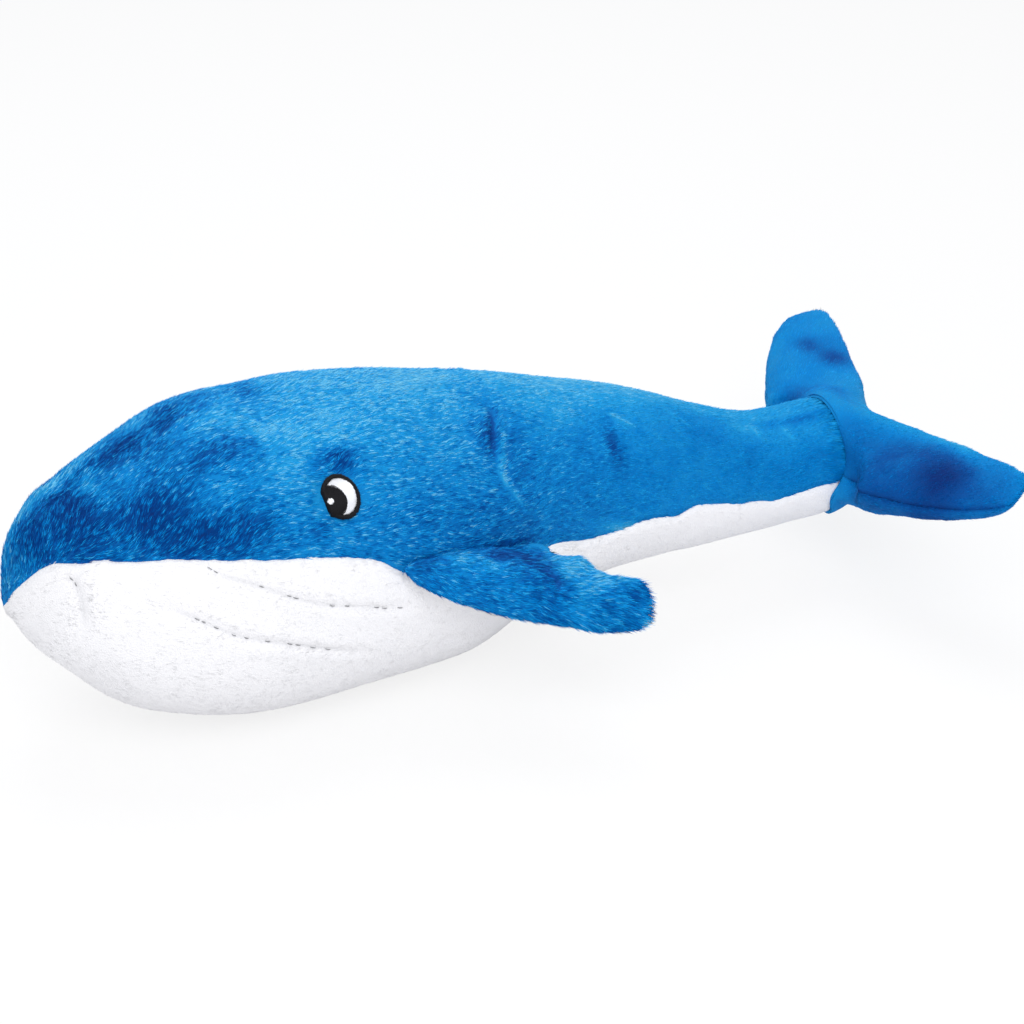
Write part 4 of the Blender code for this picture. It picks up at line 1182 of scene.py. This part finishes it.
def fluke_skins():
    centre, across = hinge("fluke_flap")
    level = row([0.0, 0.0, 1.0])
    aft = unit(np.cross(across, level))
    aft = aft if aft[0] > 0 else -aft
    lift, drop = math.cos(FLUKE_TILT), math.sin(FLUKE_TILT)
    plane_aft, up = aft * lift + level * drop, level * lift - aft * drop
    origin = centre - up * FLUKE_PLANE_DROP

    def place(span, edge, rise=0.0):
        level_place = origin + plane_aft * (edge * FLUKE_CHORD) + across * (span * FLUKE_HALF_SPAN)
        return level_place + up * (rise * FLUKE_PLANE_DROP)

    halves = [(-1, section) for section in reversed(FLUKE_SECTIONS[1:])]
    halves += [(1, section) for section in FLUKE_SECTIONS]
    rings = []
    for side, (span, lead, trail, full, top_share, rise) in halves:
        edges = [place(side * span, edge, rise) for edge in (lead, trail)]
        rings.append(section_ring(*edges, full * FLUKE_THICKNESS, up, top_share))
    tip_span, tip_edge = FLUKE_TIP
    grid = closed_limb(place(-tip_span, tip_edge), rings, place(tip_span, tip_edge), *FLUKE_GRID)
    grid, _ = uneven(grid, 19.0, 8.0)
    grid, cup = seat_on_tail(grid, centre, aft, across)
    out = grid_normals(grid)
    cup = cup & (((grid - centre) * out).sum(-1) < TAIL_RADIUS * 0.3)
    span, behind = (grid - centre) @ across, (grid - centre) @ aft
    # painted shade in the left lobe's darker places
    lighter, _ = limb_brushing_and_painted_light(FLUKE_BRUSHED_AND_PAINTED_SHADE, span, behind)
    comb = unit(plane_aft + across * np.clip(span / 45, -1, 1)[..., None] * 0.8
                + body.lumps(grid + 40, 12.0) * np.cross(out, plane_aft) * 0.4)
    mottle = 0.03 * body.dark(grid, 14.0)[..., 0] + 0.04 * body.dark(grid + 70, 7.0)[..., 0]
    away = np.linalg.norm(grid - centre, axis=-1)
    near_tail = bell(away - COLLAR_RADIUS, 5)
    fields = {
        "shade": 0.43 + lighter + mottle,
        "streaks": 0.06,
        "length": 2.6 - 1.2 * near_tail,
        "lean": 11.0,
        "cover": np.where(cup, 0.0, 1.0),
    }
    clear = np.clip((away - TAIL_RADIUS - 1.5) / 4, 0, 1)
    skins = limb_halves(grid, out, comb, clear, 5 - 4 * bell(span.mean(1), 42, 4), 0, **fields)
    skins[1].shade = skins[1].shade + 0.08
    return skins, centre, aft


def seat_on_tail(grid, centre, aft, across):
    """Lays what would sit inside the round end of the tail on it, as the cup the flukes are sewn on by, keeps
    the leading edges beside it behind the seam above and in front of it below, and flares them out."""
    away = grid - centre
    behind, span = away @ aft, np.abs(away @ across)
    level = np.cross(across, aft)
    below = np.clip(-(away @ level) * np.sign(level[2]) / 20, 0, 1)
    inside = np.linalg.norm(away, axis=-1) < COLLAR_RADIUS
    least = COLLAR_START - 14.0 * np.clip((span - 34) / 22, 0, 1) ** 2 - 11.0 * below
    further = (np.maximum(behind, least) - behind) * np.where(inside, 1, 0.9)
    pushed = away + aft * further[..., None]
    flare = 1 - np.maximum(np.linalg.norm(pushed, axis=-1) - COLLAR_RADIUS, 0) / COLLAR_FLARE
    forward = np.clip(1 - (pushed @ aft) / 40, 0, 1)
    reach = COLLAR_REACH * (1 + 2.6 * below)
    pushed = pushed - aft * (reach * np.clip(flare, 0, 1) ** 2.5 * forward)[..., None]
    seated = unit(pushed) * COLLAR_RADIUS
    inside = inside | (np.linalg.norm(pushed, axis=-1) < COLLAR_RADIUS)
    grid = np.where(inside[..., None], seated, pushed)
    for _ in range(COLLAR_PASSES):
        above = np.linalg.norm(grid, axis=-1) - COLLAR_RADIUS
        near = (bell(grid @ aft - COLLAR_START, 13) * bell(above, 13))[1:-1, :, None] * 0.5
        beside = (grid[2:] + grid[:-2] + np.roll(grid, 1, 1)[1:-1] + np.roll(grid, -1, 1)[1:-1]) / 4
        grid[1:-1] += (beside - grid[1:-1]) * near
        far = np.linalg.norm(grid, axis=-1)
        grid = grid * np.maximum(COLLAR_RADIUS / far, 1)[..., None]
    above = np.linalg.norm(grid, axis=-1) - COLLAR_RADIUS
    past = np.maximum(grid @ aft - COLLAR_START + COLLAR_REACH, 0)
    hug = bell(above, 7) * bell(past, 7) * bell(grid @ across, 25, 4)
    return centre + grid - unit(grid) * (above * hug)[..., None], inside


def panel(name, skin, cloth, thickness, fill, *nodes):
    """A panel of plush, hiding the solids it stands for."""
    made = shell(name, skin, cloth.ground, thickness)
    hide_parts(*nodes)
    return made


def dress_body(blue, white):
    """The body's three panels, each with its pile in two pieces."""
    over_cheek = {"keep": clear_of_eyes}
    panels = (
        ("left_side", "left", side_panel(1), blue, 41, (2.3, 2.0), over_cheek, ["left_side_panel"]),
        ("right_side", "right", side_panel(-1), blue, 39, (2.3, 2.0), over_cheek, ["right_side_panel"]),
        ("belly", "belly", belly_panel(), white, 50, (1.3, 1.3), {"tuft": 2.2, "wild": 0.35, "even": 1.0},
         ["belly_panel", "body_filling"]),
    )
    for label, pile_label, skin, cloth, seed, densities, kind, nodes in panels:
        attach(panel(label + "_plush", skin, cloth, BODY_PLUSH, BODY_FILL, *nodes), "body")
        pile, parting = Pile(seed), int(len(skin.points) * PILE_PARTING)
        front, rear = skin.part(slice(0, parting + 1)), skin.part(slice(parting, None))
        for end, part, density in zip(("_front", "_rear"), (front, rear), densities):
            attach(pile.lay(pile_label + end + "_pile", part, density, cloth, **kind), "body")


def dress_limb(label, skins, cloths, seed, densities, kinds, bend):
    """A limb's top and under panels and their pile."""
    (top, under), (top_cloth, under_cloth), pile = skins, cloths, Pile(seed)
    nodes = [label + "_top_panel", label + "_filling"]
    made = [
        panel(label + "_top_plush", top, top_cloth, LIMB_PLUSH, LIMB_FILL, *nodes),
        panel(label + "_under_plush", under, under_cloth, LIMB_PLUSH, LIMB_FILL, label + "_under_panel"),
        pile.lay(label + "_top_pile", top, densities[0], top_cloth, **kinds[0]),
        pile.lay(label + "_under_pile", under, densities[1], under_cloth, **kinds[1]),
    ]
    for piece in made:
        [place * MM for place in bend]
        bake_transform(piece)


def dress_limbs(blue, white):
    """Both flippers, then the flukes."""
    for side, label in ((1, "left_flipper"), (-1, "right_flipper")):
        skins, middle, outward = flipper_skins(side)
        bend = [middle + outward * reach for reach in FLIPPER_BEND]
        dress_limb(label, skins, (blue, white), 60 + side, (2.2, 1.3), ({}, {"even": 0.9}), bend)
    skins, centre, aft = fluke_skins()
    kind = {"tuft": 2.4, "wild": 0.7}
    bend = [centre + aft * reach for reach in FLUKE_BEND]
    dress_limb("fluke", skins, (blue, blue), 70, (2.0, 1.8), (kind, kind), bend)


def stand(name, data, place, target):
    """Puts a camera or lamp in its place, aimed at a target."""
    made = bpy.data.objects.new(name, data)
    bpy.context.scene.collection.objects.link(made)
    made.location = place
    made.rotation_euler = (Vector(target) - Vector(place)).to_track_quat("-Z", "Y").to_euler()
    return made


def make_camera():
    data = bpy.data.cameras.new("photograph's view")
    data.sensor_width, data.lens = 36.0, CAMERA_LENS
    bpy.context.scene.camera = stand("camera", data, CAMERA_PLACE, CAMERA_AIM)


def make_lamp(name, place, size, power):
    data = bpy.data.lights.new(name, "AREA")
    data.shape, data.size, data.energy = "DISK", size, power
    stand(name, data, place, LAMP_AIM)


def make_studio():
    """Pale floor, white surroundings and soft lamps."""
    world = bpy.data.worlds.new("studio")
    bpy.context.scene.world = world
    world.use_nodes = True
    around = Nodes(world.node_tree)
    lit = around.tree.nodes["Background"]
    around.fill(lit, {"Color": AMBIENT_COLOUR, "Strength": AMBIENT_STRENGTH})
    seen = around.wire("ShaderNodeBackground", None, {"Color": PLAIN_WHITE})
    both = around.wire("ShaderNodeMixShader", None,
                       {0: around.seen_directly(), 1: Wire(around, lit.outputs[0]), 2: seen})
    around.fill(around.tree.nodes["World Output"], {0: both})

    corners = [(x * FLOOR_REACH, y * FLOOR_REACH, 0) for x, y in ((-1, -1), (1, -1), (1, 1), (-1, 1))]
    floor = build_mesh("floor", corners, [np.array([[0, 1, 2, 3]])])
    finish = Finish("pale floor", Roughness=0.9, Base_Color=FLOOR_COLOUR)
    glow = finish.wire("ShaderNodeEmission", None, {"Color": PLAIN_WHITE, "Strength": 1.0})
    lit = Wire(finish, finish.surface.outputs[0])
    share = finish.seen_directly() * FLOOR_GLOW
    mixed = finish.wire("ShaderNodeMixShader", None, {0: share, 1: lit, 2: glow})
    finish.fill(finish.tree.nodes["Material Output"], {0: mixed})
    floor.data.materials.append(finish.material)
    for name, (place, size, power) in LAMPS.items():
        make_lamp(name, place, size, power)


def main():
    make_camera()
    bpy.context.scene.view_settings.view_transform = "Standard"
    make_studio()
    blue = Cloth(backing_finish("blue backing", BLUE_PILE_STOPS, 0.66),
                 pile_finish("blue pile", BLUE_PILE_STOPS, 0.6, BLUE_GLOSS), "blue_plush", 0.50)
    white = Cloth(backing_finish("white backing", WHITE_PILE_STOPS, 0.98),
                  pile_finish("white pile", WHITE_PILE_STOPS, 0.98, WHITE_GLOSS), "white_plush", 0.52)
    black_thread = thread_finish("black thread", (0.0025, 0.0025, 0.0035), (0.010, 0.010, 0.013), 0.55)
    white_thread = thread_finish("white thread", (0.80, 0.82, 0.86), (0.93, 0.93, 0.95))
    grey_thread = thread_finish("grey thread", (0.13, 0.13, 0.14), (0.32, 0.32, 0.33))
    dress_body(blue, white)
    dress_limbs(blue, white)
    for side in (1, -1):
        embroider_eye(side, black_thread, white_thread)
    stitches = groove_stitches(grey_thread)
    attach(stitches, "body")


main()
